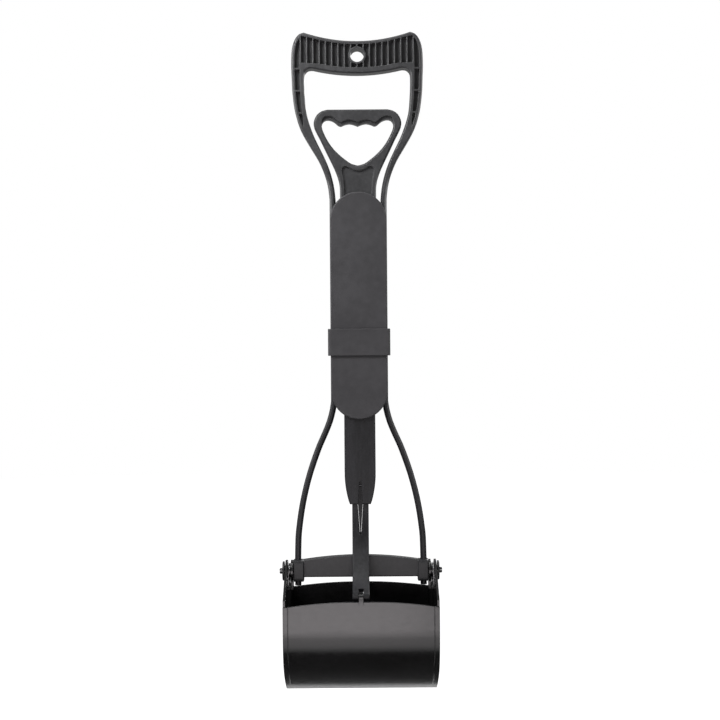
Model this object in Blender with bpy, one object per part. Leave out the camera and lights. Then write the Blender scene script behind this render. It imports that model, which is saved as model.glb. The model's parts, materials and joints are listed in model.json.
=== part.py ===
"""A long-handled pooper scooper with a D handle, a sliding finger trigger and two sprung jaws.

The origin is the centre of the hanging hole. X runs across the tool, -Y is its front and Z is up.
Pulling the trigger up lifts the pull bar, and two bowed links swing the jaws open on the hinge pins.
A torsion spring round each hinge pin, hooked into both jaws, shuts them again.
"""

import math

import bmesh
import bpy
from mathutils import Matrix, Vector
from mathutils.geometry import tessellate_polygon

# Shared clearances and edges
CLEARANCE = 0.0003
OVERRUN = 0.004
EDGE = 0.0008
CURVE_STEPS = 2
ARCH_STEPS = 8
ROUND_SIDES = 24
BOSS_SIDES = 16
SMALL_SIDES = 12
SMOOTH_ANGLE = math.radians(35)
STRAIGHT_SINE = 0.0005
FLAT_ANGLE = math.radians(0.1)
MERGE_DISTANCE = 0.000002

# Outer handle
HANDLE_HALF_WIDTH = 0.0713
HANDLE_TIP_RISE = 0.0250
HANDLE_DIP_RISE = 0.0154
HANDLE_DROP = 0.1551
HANDLE_HALF_DEPTH = 0.0080
HANDLE_EDGE = 0.0016
HAND_OPENING_DROP = 0.0195
HAND_OPENING_ARCH = 0.0057
HANGING_HOLE_RADIUS = 0.0074
HANGING_BOSS_RADIUS = 0.0094
HANDLE_RIM = 0.0036
HANDLE_LOWER_RIM = 0.0062
HANDLE_RECESS = 0.0056
RIB_THICKNESS = 0.0011
RIB_INTERVALS = 18
CROSS_RIB_THICKNESS = 0.0016
handle_corner_shares = ((0.806, 1.0), (0.880, 0.92), (0.940, 0.70), (0.977, 0.40), (0.993, 0.05))
outer_arm_shares = (
    (0.997, 0.080), (0.990, 0.160), (0.985, 0.232), (0.972, 0.301), (0.952, 0.371), (0.916, 0.441),
    (0.861, 0.511), (0.781, 0.581), (0.690, 0.651), (0.600, 0.721), (0.532, 0.790), (0.481, 0.860),
    (0.449, 0.930),
)
inner_arm_shares = (
    (0.736, 0.091), (0.788, 0.110), (0.806, 0.143), (0.803, 0.232), (0.794, 0.301), (0.781, 0.371),
    (0.750, 0.441), (0.701, 0.511), (0.640, 0.581), (0.565, 0.651), (0.492, 0.721), (0.431, 0.790),
    (0.386, 0.860), (0.356, 0.930),
)
opening_top_share = 0.673
rib_reach_share = 0.8533
channel_end_share = 0.505
channel_inner_shares = ((0.868, 0.092), (0.862, 0.232), (0.853, 0.301), (0.838, 0.371), (0.822, 0.441))
cross_rib_shares = (0.092, 0.245, 0.399)
depth_taper_shares = (0.60, 0.92)

# Upright legs
LEG_PROUD = 0.0004
LEG_WIDTH = 0.0066
LEG_HALF_DEPTH = 0.0050
LEG_EDGE = 0.0022
LEG_SPLICE_DROP = 0.3091
LOWER_BEND_TOP_DROP = 0.3727
lower_leg_shares = (
    (0.037, 0.053), (0.122, 0.122), (0.248, 0.190), (0.390, 0.259), (0.509, 0.327), (0.618, 0.396),
    (0.712, 0.464), (0.792, 0.533), (0.859, 0.601), (0.913, 0.670), (0.955, 0.738), (0.985, 0.806),
)

# Centre case: two covers and the band that clamps them
CASE_TOP_DROP = 0.1476
CASE_BOTTOM_DROP = 0.3925
CASE_HALF_WIDTH = 0.0305
CASE_HALF_DEPTH = 0.0122
COVER_WALL = 0.0020
COVER_EDGE = 0.0010
GUIDE_RIB_WIDTH = 0.0020
GUIDE_RIB_LAP = 0.00045
SCREW_BOSS_RADIUS = 0.0027
BAND_TOP_DROP = 0.2950
BAND_HEIGHT = 0.0288
BAND_WALL = 0.0023
BAND_CORNER = 0.0031
SCREW_SHANK_RADIUS = 0.00135
SCREW_HEAD_RADIUS = 0.0027
SCREW_HEAD_HEIGHT = 0.0015
SCREW_CROSS_WIDTH = 0.0007
SCREW_CROSS_DEPTH = 0.0008
cover_screw_shares = (0.26, 0.54, 0.88)

# Trigger grip
TRIGGER_TRAVEL = 0.0320
GRIP_TOP_DROP = 0.0581
GRIP_SIDE_GAP = 0.01017
GRIP_HEIGHT = 0.0900
GRIP_HALF_DEPTH = 0.0065
GRIP_EDGE = 0.0015
NECK_HALF_WIDTH = 0.0195
NECK_TENON_LENGTH = 0.0260
POCKET_DEPTH = 0.0026
FINGER_STEP_HEIGHT = 0.0036
FINGER_PITCH = 0.0182
FINGER_TIP_DROP = 0.0754
FINGER_VALLEY_DROP = 0.0727
finger_flank_share = 1.2
grip_side_shares = (
    (0.68, 0.0), (0.814, 0.017), (0.926, 0.061), (0.989, 0.127), (1.0, 0.182), (0.968, 0.238),
    (0.854, 0.356), (0.746, 0.476), (0.634, 0.597), (0.526, 0.717), (0.446, 0.837), (0.416, 0.935),
)
grip_opening_shares = (
    (0.539, 0.139), (0.655, 0.116), (0.761, 0.126), (0.814, 0.166), (0.816, 0.199), (0.795, 0.249),
    (0.757, 0.296), (0.700, 0.356), (0.630, 0.416), (0.543, 0.476), (0.433, 0.536), (0.296, 0.597),
    (0.150, 0.650),
)
grip_opening_bottom_share = 0.672
pocket_shares = ((0.0, 0.733), (0.30, 0.718), (0.62, 0.681), (0.82, 0.690), (0.90, 0.730), (0.80, 0.86))
pocket_bottom_share = 0.74
POCKET_BOTTOM_DROP = 0.1560
neck_screw_share = 0.55

# Pull bar
BAR_END_HALF_WIDTH = 0.0112
BAR_BOTTOM_DROP = 0.4840
BAR_TAPER_LENGTH = 0.0300
BAR_WALL = 0.0020
LINK_CHAMBER_LENGTH = 0.0400
bar_taper_shares = ((0.0, 0.0), (0.07, 0.20), (0.21, 0.42), (0.43, 0.64), (0.72, 0.86), (1.0, 1.0))
TONGUE_HALF_WIDTH = 0.0026
TONGUE_TIP_HALF_WIDTH = 0.0005
TONGUE_LENGTH = 0.0310
SLIT_LENGTH = 0.0242
SLIT_TOP_HALF_WIDTH = 0.0012
SLIT_END_HALF_WIDTH = 0.0027
tongue_depth_share = 0.55

# Links and their pins
LINK_HALF_WIDTH = 0.0089
LINK_THICKNESS = 0.0044
LINK_EDGE = 0.0008
LINK_TOP_OFFSET = 0.0034
LINK_TOP_DROP = 0.4640
LINK_STRAIGHT = 0.0220
LINK_EYE_RADIUS = 0.0029
LINK_KNUCKLE_RADIUS = 0.0036
LINK_PIN_RADIUS = 0.0013
FORK_END_DROP = 0.5160
KNUCKLE_GAP_LENGTH = 0.0100
LINK_CURVE_STEPS = 12

# Hinge yoke, hinge pins and retaining discs
HINGE_DROP = 0.5565
YOKE_HALF_HEIGHT = 0.0062
YOKE_TOP_RISE = 0.0171
YOKE_END_RISE = 0.0122
YOKE_HALF_DEPTH = 0.0055
YOKE_EDGE = 0.0010
YOKE_POCKET_DEPTH = 0.0060
YOKE_POCKET_WALL = 0.0024
YOKE_POCKETS = 4
LUG_WALL = 0.0014
LUG_TOP_RISE = 0.0125
LUG_BOTTOM_FALL = 0.0112
LUG_HALF_DEPTH = 0.0082
ANKLE_OVERHANG = 0.0150
HINGE_PIN_RADIUS = 0.0026
PIN_SNAP_LIP = 0.0005
PIN_SNAP_LENGTH = 0.0030
PIN_SLOT_WIDTH = 0.0012
PIN_SLOT_DEPTH = 0.0050
DISC_RADIUS = 0.0104
DISC_THICKNESS = 0.0020

# Torsion springs, each in the room between the ears of the two jaws
SPRING_ROOM = 0.0034
SPRING_COIL_RADIUS = 0.0082
SPRING_WIRE_RADIUS = 0.0004
SPRING_PITCH = 0.0013
SPRING_TURNS = 1.5
SPRING_POINTS_PER_TURN = 10
SPRING_LEG_LENGTH = 0.0150
SPRING_BEND_RADIUS = 0.0009
spring_bend_share = 0.293

# Jaws
JAW_HALF_LENGTH = 0.0814
JAW_REACH = 0.0640
JAW_RIM_FALL = 0.0225
JAW_RIM_ARCH = 0.0065
JAW_DEPTH = 0.1275
JAW_SKIN = 0.0024
JAW_END_WALL = 0.0024
JAW_EAR_RADIUS = 0.0120
EAR_CUP_MARGIN = 0.0010
EAR_BOSS_RADIUS = 0.0055
EAR_BOSS_HEIGHT = 0.0010
jaw_profile_shares = (
    (1.0, 0.18), (1.0, 0.40), (0.992, 0.50), (0.960, 0.600), (0.895, 0.680), (0.800, 0.747), (0.670, 0.806),
    (0.500, 0.866), (0.270, 0.934),
)
JAW_PIN_INSET = 0.0045
JAW_PIN_RISE = 0.0050
TAB_HALF_WIDTH = 0.0024
TAB_WALL = 0.0022
TAB_SLOT_REACH = 0.0017
TAB_SLOT_SLACK = 0.0002
TAB_SLOT_ANGLE = math.radians(22)
TAB_FOOT = 0.0140
JAW_LIP_GAP = 0.0002

# Places worked out from the sizes above
RIB_REACH = rib_reach_share * HANDLE_HALF_WIDTH
RIB_PITCH = 2 * RIB_REACH / RIB_INTERVALS
OPENING_HALF_WIDTH = HANDLE_HALF_WIDTH * max(x for x, z in inner_arm_shares)
GRIP_HALF_WIDTH = OPENING_HALF_WIDTH - GRIP_SIDE_GAP
LEG_OUTER = CASE_HALF_WIDTH + LEG_PROUD
LEG_X = LEG_OUTER - LEG_WIDTH / 2
LEG_INNER = LEG_OUTER - LEG_WIDTH
SCREW_X = LEG_INNER - CLEARANCE - SCREW_BOSS_RADIUS
BAR_HALF_WIDTH = SCREW_X - SCREW_BOSS_RADIUS + GUIDE_RIB_LAP - GUIDE_RIB_WIDTH - CLEARANCE
BAR_HALF_DEPTH = LINK_TOP_OFFSET + LINK_EYE_RADIUS + CLEARANCE + BAR_WALL
CHAMBER_HALF_DEPTH = BAR_HALF_DEPTH - BAR_WALL
CHAMBER_HALF_WIDTH = LINK_HALF_WIDTH + CLEARANCE
CASE_INSIDE_RADIUS = CASE_HALF_WIDTH - COVER_WALL
CASE_STOP = math.sqrt(CASE_INSIDE_RADIUS ** 2 - BAR_HALF_WIDTH ** 2) - CASE_TOP_DROP - CASE_HALF_WIDTH
BAR_TOP = CASE_STOP - TRIGGER_TRAVEL - CLEARANCE
SHOULDER = BAR_TOP + CLEARANCE
BAR_BOTTOM = -BAR_BOTTOM_DROP
COVER_FACE = CASE_HALF_DEPTH
COVER_SEAM = LEG_HALF_DEPTH + CLEARANCE
HINGE_Z = -HINGE_DROP
REAR_EAR_OUTER = JAW_HALF_LENGTH - JAW_END_WALL - SPRING_ROOM
REAR_EAR_INNER = REAR_EAR_OUTER - JAW_END_WALL
EAR_CUP_RADIUS = math.hypot(SPRING_COIL_RADIUS, SPRING_LEG_LENGTH) + SPRING_WIRE_RADIUS + EAR_CUP_MARGIN
LUG_OUTER = REAR_EAR_INNER - CLEARANCE
ANKLE_X = LUG_OUTER - LUG_WALL - CLEARANCE - LEG_WIDTH / 2
LUG_INNER = ANKLE_X - LEG_WIDTH / 2 - CLEARANCE - LUG_WALL
COIL_INSIDE_RADIUS = SPRING_COIL_RADIUS * math.cos(math.pi / SPRING_POINTS_PER_TURN) - SPRING_WIRE_RADIUS
HUB_RADIUS = COIL_INSIDE_RADIUS - CLEARANCE
DISC_INNER = JAW_HALF_LENGTH + EAR_BOSS_HEIGHT + CLEARANCE
SNAP_START = DISC_INNER + DISC_THICKNESS + CLEARANCE
PIN_END = SNAP_START + PIN_SNAP_LENGTH
JAW_PIN_Y = JAW_REACH - JAW_PIN_INSET
JAW_PIN_Z = HINGE_Z - JAW_RIM_FALL + JAW_PIN_RISE


def clear_scene():
    for obj in list(bpy.data.objects):
        bpy.data.objects.remove(obj, do_unlink=True)


def make_material(name, colour, roughness, metallic=0.0):
    material = bpy.data.materials.new(name)
    material.use_nodes = True
    shader = material.node_tree.nodes["Principled BSDF"]
    shader.inputs["Base Color"].default_value = (*colour, 1.0)
    shader.inputs["Roughness"].default_value = roughness
    shader.inputs["Metallic"].default_value = metallic
    material.diffuse_color = (*colour, 1.0)
    return material


def smooth_curve(points, steps=CURVE_STEPS):
    """A Catmull-Rom curve through the points, whose end stretches start straight."""
    first = points[0].lerp(points[1], -1.0)
    last = points[-1].lerp(points[-2], -1.0)
    padded = [first, *points, last]
    curve = []
    for before, start, end, after in zip(padded, padded[1:], padded[2:], padded[3:]):
        for step in range(steps):
            t = step / steps
            curve.append(0.5 * (
                2 * start
                + (end - before) * t
                + (2 * before - 5 * start + 4 * end - after) * t ** 2
                + (3 * start - before - 3 * end + after) * t ** 3
            ))
    return [*curve, points[-1].copy()]


def flipped(points):
    """The points mirrored in the upright axis, in reverse order."""
    return [Vector((-point.x, point.y)) for point in reversed(points)]


def mirrored(half):
    """A whole loop from its right half, which runs from the axis back to the axis or stops beside it."""
    left = flipped(half)
    if abs(half[-1].x) < CLEARANCE:
        left = left[1:]
    if abs(half[0].x) < CLEARANCE:
        left = left[:-1]
    return half + left


def circle_point(turn, radius):
    return Vector((math.cos(turn), math.sin(turn))) * radius


def circle(centre, radius, sides=ROUND_SIDES):
    return [centre + circle_point(math.tau * side / sides, radius) for side in range(sides)]


def slot_loop(centre, reach, radius, angle=0.0, sides=ROUND_SIDES):
    """A slot with round ends, whose centreline runs from -reach to reach."""
    along = circle_point(angle, reach)
    loop = []
    for side in range(sides):
        point = circle_point(math.tau * (side + 0.5) / sides, radius)
        loop.append(centre + point + (along if point.dot(along) >= 0 else -along))
    return loop


def box_loop(low, high):
    corners = ((low[0], low[1]), (high[0], low[1]), (high[0], high[1]), (low[0], high[1]))
    return [Vector(corner) for corner in corners]


def signed_area(loop):
    return sum(a.x * b.y - b.x * a.y for a, b in zip(loop, loop[1:] + loop[:1])) / 2


def facing(loop, outer):
    """The loop wound so that its left side is material: outer loops turn left, holes turn right."""
    return loop if (signed_area(loop) > 0) == outer else loop[::-1]


def corners_only(loop):
    """The loop without the points that lie on a straight run between their neighbours."""
    kept = []
    for before, point, after in zip(loop[-1:] + loop[:-1], loop, loop[1:] + loop[:1]):
        into = (point - before).normalized()
        out = (after - point).normalized()
        if abs(into.cross(out)) > STRAIGHT_SINE:
            kept.append(point)
    return kept


def beside(curve, distance):
    """An open curve moved to its left by a distance."""
    moved = []
    for index, point in enumerate(curve):
        ahead = (curve[min(index + 1, len(curve) - 1)] - curve[max(index - 1, 0)]).normalized()
        moved.append(point + Vector((-ahead.y, ahead.x)) * distance)
    return moved


def arc(centre, radius, start, end, steps):
    """Points on a circle from one angle to another, both included."""
    turns = [start + (end - start) * step / steps for step in range(steps + 1)]
    return [centre + circle_point(turn, radius) for turn in turns]


def hull(points):
    """The convex loop round a set of points."""
    ordered = sorted(points, key=lambda point: (point.x, point.y))
    loop = []
    for chain in (ordered, ordered[::-1]):
        side = []
        for point in chain:
            while len(side) > 1 and (side[-1] - side[-2]).cross(point - side[-1]) <= 0:
                side.pop()
            side.append(point)
        loop += side[:-1]
    return loop


def inset(loop, distance_at):
    """The loop moved into the material by the distance that belongs to each point."""
    moved = []
    for before, point, after in zip(loop[-1:] + loop[:-1], loop, loop[1:] + loop[:1]):
        into = (point - before).normalized()
        out = (after - point).normalized()
        left_in = Vector((-into.y, into.x))
        left_out = Vector((-out.y, out.x))
        mitre = (left_in + left_out) / max(1.0 + left_in.dot(left_out), 0.5)
        moved.append(point + mitre * distance_at(point))
    return moved


def new_object(name, mesh):
    obj = bpy.data.objects.new(name, mesh)
    bpy.context.collection.objects.link(obj)
    return obj


def mesh_from(name, points, faces):
    mesh = bpy.data.meshes.new(name)
    mesh.from_pydata([tuple(point) for point in points], [], faces)
    build = bmesh.new()
    build.from_mesh(mesh)
    bmesh.ops.recalc_face_normals(build, faces=build.faces)
    build.to_mesh(mesh)
    build.free()
    return new_object(name, mesh)


def placed(point, depth, axis):
    """A point of a flat outline set at a depth along the axis that the outline is extruded on."""
    if axis == "X":
        return Vector((depth, point.x, point.y))
    if axis == "Y":
        return Vector((point.x, depth, point.y))
    return Vector((point.x, point.y, depth))


def fixed(value):
    return lambda point: value


def plate(name, loops, low, high, axis="Y", edge=None, edge_ends=(True, True)):
    """Loops extruded along an axis: the first is the outline, the others are holes, and edge is a bevel."""
    low_at = low if callable(low) else fixed(low)
    high_at = high if callable(high) else fixed(high)
    edge_at = edge if callable(edge) else fixed(edge or 0.0)
    loops = [facing(corners_only(loop), index == 0) for index, loop in enumerate(loops)]
    layers = []
    if edge and edge_ends[0]:
        layers.append((edge_at, low_at))
        layers.append((None, lambda point: low_at(point) + edge_at(point)))
    else:
        layers.append((None, low_at))
    if edge and edge_ends[1]:
        layers.append((None, lambda point: high_at(point) - edge_at(point)))
        layers.append((edge_at, high_at))
    else:
        layers.append((None, high_at))
    points = []
    faces = []
    starts = []
    caps = []
    for inset_at, depth_at in layers:
        starts.append([])
        caps.append([])
        for loop in loops:
            starts[-1].append(len(points))
            drawn = inset(loop, inset_at) if inset_at else loop
            caps[-1].append([point.to_3d() for point in drawn])
            points += [placed(spot, depth_at(point), axis) for spot, point in zip(drawn, loop)]
    for lower, upper in zip(starts, starts[1:]):
        for loop, a, b in zip(loops, lower, upper):
            size = len(loop)
            faces += [(a + i, a + (i + 1) % size, b + (i + 1) % size, b + i) for i in range(size)]
    for layer in (0, -1):
        base = starts[layer][0]
        faces += [tuple(base + corner for corner in face) for face in tessellate_polygon(caps[layer])]
    return mesh_from(name, points, faces)


def sweep(name, path, section, across):
    """A section swept along a flat path: its first coordinate lies across the path in its plane."""
    points = []
    faces = []
    for index, point in enumerate(path):
        ahead = path[min(index + 1, len(path) - 1)] - path[max(index - 1, 0)]
        side = ahead.cross(across).normalized()
        points += [point + side * spot.x + across * spot.y for spot in section]
    size = len(section)
    for ring in range(len(path) - 1):
        a = ring * size
        b = a + size
        faces += [(a + i, a + (i + 1) % size, b + (i + 1) % size, b + i) for i in range(size)]
    faces.append(tuple(range(size)))
    faces.append(tuple(range(len(points) - size, len(points))))
    return mesh_from(name, points, faces)


def cut_corner_section(half_width, half_depth, corner):
    loop = box_loop((-half_width, -half_depth), (half_width, half_depth))
    section = []
    for before, point, after in zip(loop[-1:] + loop[:-1], loop, loop[1:] + loop[:1]):
        section.append(point + (before - point).normalized() * corner)
        section.append(point + (after - point).normalized() * corner)
    return section


def turned(name, profile, centre, axis, sides=ROUND_SIDES):
    """A solid of revolution: profile holds (radius, place along the axis) from radius 0 to radius 0."""
    points = []
    faces = []
    rings = []
    for radius, along in profile:
        if radius == 0:
            rings.append([len(points)])
            points.append(placed(Vector((0, 0)), along, axis))
        else:
            rings.append(list(range(len(points), len(points) + sides)))
            points += [placed(spot, along, axis) for spot in circle(Vector((0, 0)), radius, sides)]
    for lower, upper in zip(rings, rings[1:]):
        for side in range(sides):
            corners = [
                lower[side % len(lower)], lower[(side + 1) % len(lower)],
                upper[(side + 1) % len(upper)], upper[side % len(upper)],
            ]
            faces.append(tuple(dict.fromkeys(corners)))
    obj = mesh_from(name, points, faces)
    obj.data.transform(Matrix.Translation(centre))
    return obj


def rod(name, radius, start, end, centre, axis, sides=ROUND_SIDES):
    return turned(name, [(0, start), (radius, start), (radius, end), (0, end)], centre, axis, sides)


def combine(target, tool, operation):
    """Applies one exact Boolean and removes its tool."""
    modifier = target.modifiers.new("combine", "BOOLEAN")
    modifier.operation = operation
    modifier.solver = "EXACT"
    modifier.object = tool
    depsgraph = bpy.context.evaluated_depsgraph_get()
    result = bpy.data.meshes.new_from_object(target.evaluated_get(depsgraph), depsgraph=depsgraph)
    build = bmesh.new()
    build.from_mesh(result)
    bmesh.ops.remove_doubles(build, verts=build.verts, dist=MERGE_DISTANCE)
    build.to_mesh(result)
    build.free()
    old = target.data
    target.modifiers.clear()
    target.data = result
    bpy.data.meshes.remove(old)
    bpy.data.objects.remove(tool, do_unlink=True)
    return target


def cut(target, *tools):
    for tool in tools:
        combine(target, tool, "DIFFERENCE")
    return target


def add(target, *tools):
    for tool in tools:
        combine(target, tool, "UNION")
    return target


def tidied(obj):
    """Merges the flat facets that cuts leave behind."""
    build = bmesh.new()
    build.from_mesh(obj.data)
    bmesh.ops.dissolve_limit(build, angle_limit=FLAT_ANGLE, verts=build.verts, edges=build.edges)
    bmesh.ops.dissolve_verts(build, verts=[vert for vert in build.verts if len(vert.link_edges) == 2])
    bmesh.ops.triangulate(build, faces=build.faces)
    build.to_mesh(obj.data)
    build.free()
    return obj


def joined(name, pieces):
    """Separate closed pieces gathered in one mesh, to serve as one cutter."""
    build = bmesh.new()
    for piece in pieces:
        build.from_mesh(piece.data)
        bpy.data.objects.remove(piece, do_unlink=True)
    mesh = bpy.data.meshes.new(name)
    build.to_mesh(mesh)
    build.free()
    return new_object(name, mesh)


def reflect(obj, name, axis):
    """A mirrored copy of a finished piece."""
    mesh = obj.data.copy()
    scale = Vector((-1 if axis == "X" else 1, -1 if axis == "Y" else 1, 1))
    mesh.transform(Matrix.Diagonal((*scale, 1)))
    mesh.flip_normals()
    return new_object(name, mesh)


def handle_point(share):
    return Vector((share[0] * HANDLE_HALF_WIDTH, -share[1] * HANDLE_DROP))


def handle_top_curve(rim=0.0):
    """The dished top edge of the handle, from the middle to the tip of its right horn."""
    tip = HANDLE_HALF_WIDTH * handle_corner_shares[0][0]
    spans = [step / ARCH_STEPS for step in range(ARCH_STEPS)]
    rise = HANDLE_TIP_RISE - HANDLE_DIP_RISE
    return [Vector((tip * span, HANDLE_DIP_RISE - rim + rise * span ** 2)) for span in spans]


def hand_opening_top_curve(rim=0.0):
    """The bowed underside of the top bar, from the middle to the corner of the hand opening."""
    reach = HANDLE_HALF_WIDTH * opening_top_share
    spans = [step / ARCH_STEPS for step in range(ARCH_STEPS)]
    middle = rim - HAND_OPENING_DROP
    return [Vector((reach * span, middle + HAND_OPENING_ARCH * span ** 2)) for span in spans]


def handle_outer_side():
    corner = [Vector((x * HANDLE_HALF_WIDTH, z * HANDLE_TIP_RISE)) for x, z in handle_corner_shares]
    arm = [handle_point(share) for share in outer_arm_shares]
    return smooth_curve([*corner, *arm, Vector((LEG_OUTER, -HANDLE_DROP))])


def handle_inner_side():
    reach = HANDLE_HALF_WIDTH * opening_top_share
    start = Vector((reach, -HAND_OPENING_DROP + HAND_OPENING_ARCH))
    arm = [handle_point(share) for share in inner_arm_shares]
    return smooth_curve([start, *arm, Vector((LEG_INNER, -HANDLE_DROP))])


def handle_outline():
    """The handle and both upper legs as one loop: round the outside, then back round the hand opening."""
    leg_end = -(LEG_SPLICE_DROP - CLEARANCE / 2)
    outside = handle_top_curve() + handle_outer_side() + [Vector((LEG_OUTER, leg_end))]
    inside = hand_opening_top_curve() + handle_inner_side() + [Vector((LEG_INNER, leg_end))]
    right = outside + inside[::-1]
    return right + flipped(outside[1:] + inside[:0:-1])


def taper_share(height):
    start, end = (share * HANDLE_DROP for share in depth_taper_shares)
    share = min(max((-height - start) / (end - start), 0.0), 1.0)
    return share * share * (3 - 2 * share)


def handle_depth_at(point):
    return HANDLE_HALF_DEPTH + (LEG_HALF_DEPTH - HANDLE_HALF_DEPTH) * taper_share(point.y)


def handle_edge_at(point):
    return HANDLE_EDGE + (LEG_EDGE - HANDLE_EDGE) * taper_share(point.y)


def bar_cells(low, high):
    """The sunk cells between the upright ribs of the top bar, cut to the recess and clear of the boss."""
    boxes = []
    for index in range(RIB_INTERVALS):
        left = index * RIB_PITCH - RIB_REACH + RIB_THICKNESS / 2
        right = left + RIB_PITCH - RIB_THICKNESS
        loop = box_loop((left, -HAND_OPENING_DROP), (right, HANDLE_TIP_RISE))
        boxes.append(plate("cell", [loop], low, high))
    cells = joined("cells", boxes)
    top = handle_top_curve(HANDLE_RIM)
    bottom = hand_opening_top_curve(HANDLE_LOWER_RIM)
    top.append(Vector((RIB_REACH, HANDLE_TIP_RISE - HANDLE_RIM)))
    bottom.append(Vector((RIB_REACH, -HAND_OPENING_DROP + HANDLE_LOWER_RIM + HAND_OPENING_ARCH)))
    region = mirrored(top + bottom[::-1])
    recess = plate("recess", [region], low - OVERRUN, high + OVERRUN)
    combine(cells, recess, "INTERSECT")
    boss = rod("boss", HANGING_BOSS_RADIUS, low - OVERRUN, high + OVERRUN, Vector((0, 0, 0)), "Y")
    return cut(cells, boss)


def arm_cells(low, high):
    """The channels down both arms, crossed by short ribs and ending in a point."""
    inner_x = RIB_REACH + RIB_THICKNESS / 2
    end = -channel_end_share * HANDLE_DROP
    outer = [
        point for point in beside(handle_outer_side(), -HANDLE_RIM)
        if inner_x < point.x or point.y < 0
    ]
    outer = [point for point in outer if end < point.y < HANDLE_TIP_RISE - HANDLE_RIM]
    inner = [handle_point(share) for share in channel_inner_shares]
    region = [Vector((inner_x, outer[0].y)), *outer, *reversed(inner)]
    right = plate("channel", [region], low, high)
    ribs = []
    for share in cross_rib_shares:
        height = -share * HANDLE_DROP
        half = CROSS_RIB_THICKNESS / 2
        rib = box_loop((0, height - half), (HANDLE_HALF_WIDTH, height + half))
        ribs.append(plate("rib", [rib], low - OVERRUN, high + OVERRUN))
    cut(right, joined("ribs", ribs))
    left = reflect(right, "left_channel", "X")
    return joined("channels", [right, left])


def make_handle_frame():
    frame = plate(
        "handle_frame", [handle_outline()],
        lambda point: -handle_depth_at(point), handle_depth_at, edge=handle_edge_at,
    )
    floor = HANDLE_HALF_DEPTH - HANDLE_RECESS
    for low, high in ((-HANDLE_HALF_DEPTH - OVERRUN, -floor), (floor, HANDLE_HALF_DEPTH + OVERRUN)):
        cut(frame, bar_cells(low, high), arm_cells(low, high))
    reach = HANDLE_HALF_DEPTH + OVERRUN
    return tidied(cut(frame, rod("hole", HANGING_HOLE_RADIUS, -reach, reach, Vector((0, 0, 0)), "Y")))


def lower_leg_path():
    """The centreline of the right lower leg, from the splice in the case down through the yoke."""
    top = -(LEG_SPLICE_DROP + CLEARANCE / 2)
    bend_top = -LOWER_BEND_TOP_DROP
    spread = ANKLE_X - LEG_X
    fall = HINGE_DROP + bend_top
    bend = [Vector((LEG_X + x * spread, bend_top - z * fall)) for x, z in lower_leg_shares]
    ankle = Vector((ANKLE_X, HINGE_Z + LUG_TOP_RISE))
    curve = smooth_curve([Vector((LEG_X, bend_top)), *bend, ankle])
    flat = [Vector((LEG_X, top)), *curve, Vector((ANKLE_X, HINGE_Z - ANKLE_OVERHANG))]
    return [placed(point, 0, "Y") for point in flat]


def make_leg(name):
    section = cut_corner_section(LEG_WIDTH / 2, LEG_HALF_DEPTH, LEG_EDGE)
    leg = sweep(name, lower_leg_path(), section, Vector((0, 1, 0)))
    centre = Vector((0, 0, HINGE_Z))
    hole = rod("hole", HINGE_PIN_RADIUS + CLEARANCE, LUG_INNER - OVERRUN, LUG_OUTER + OVERRUN, centre, "X")
    return cut(leg, hole)


def case_loop(shrink=0.0):
    """The long outline of the case with its full-round ends."""
    radius = CASE_HALF_WIDTH - shrink
    top = -(CASE_TOP_DROP + CASE_HALF_WIDTH)
    bottom = -(CASE_BOTTOM_DROP - CASE_HALF_WIDTH)
    middle = Vector((0, (top + bottom) / 2))
    return slot_loop(middle, (top - bottom) / 2, radius, math.pi / 2, ROUND_SIDES * 2)


def screw_heights():
    length = CASE_BOTTOM_DROP - CASE_TOP_DROP
    return [-(CASE_TOP_DROP + share * length) for share in cover_screw_shares]


def make_cover(name, is_rear):
    """One cover, modelled as the rear one: a tray with guide ribs and screw bosses, open to the legs."""
    cover = plate(name, [case_loop()], COVER_SEAM, COVER_FACE, edge=COVER_EDGE, edge_ends=(False, True))
    inside = COVER_FACE - COVER_WALL
    cut(cover, plate("inside", [case_loop(COVER_WALL)], COVER_SEAM - OVERRUN, inside))
    neck_way = NECK_HALF_WIDTH + CLEARANCE
    bar_way = BAR_HALF_WIDTH + CLEARANCE
    neck = box_loop((-neck_way, SHOULDER), (neck_way, 0))
    bar = box_loop((-bar_way, -HINGE_DROP), (bar_way, -CASE_BOTTOM_DROP + CASE_HALF_WIDTH))
    cut(cover, plate("neck_way", [neck], 0, GRIP_HALF_DEPTH + CLEARANCE))
    cut(cover, plate("bar_way", [bar], 0, BAR_HALF_DEPTH + CLEARANCE))
    rib_bottom = -(CASE_BOTTOM_DROP - CASE_HALF_WIDTH)
    for side in (-1, 1):
        low, high = sorted((side * bar_way, side * (bar_way + GUIDE_RIB_WIDTH)))
        rib_loop = box_loop((low, rib_bottom), (high, BAR_TOP))
        add(cover, plate("rib", [rib_loop], CLEARANCE / 2, inside + COVER_WALL / 2))
        for height in screw_heights():
            centre = Vector((side * SCREW_X, 0, height))
            end = inside + COVER_WALL / 3
            add(cover, rod("boss", SCREW_BOSS_RADIUS, CLEARANCE, end, centre, "Y", BOSS_SIDES))
    for side in (-1, 1):
        for height in screw_heights():
            centre = Vector((side * SCREW_X, 0, height))
            if is_rear:
                cut(cover, screw_hole(centre, -OVERRUN, COVER_FACE))
            else:
                end = screw_tip_depth() + CLEARANCE
                radius = SCREW_SHANK_RADIUS + CLEARANCE
                cut(cover, rod("hole", radius, -OVERRUN, end, centre, "Y", SMALL_SIDES))
    if not is_rear:
        cover.data.transform(Matrix.Diagonal((1, -1, 1, 1)))
        cover.data.flip_normals()
    return tidied(cover)


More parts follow.
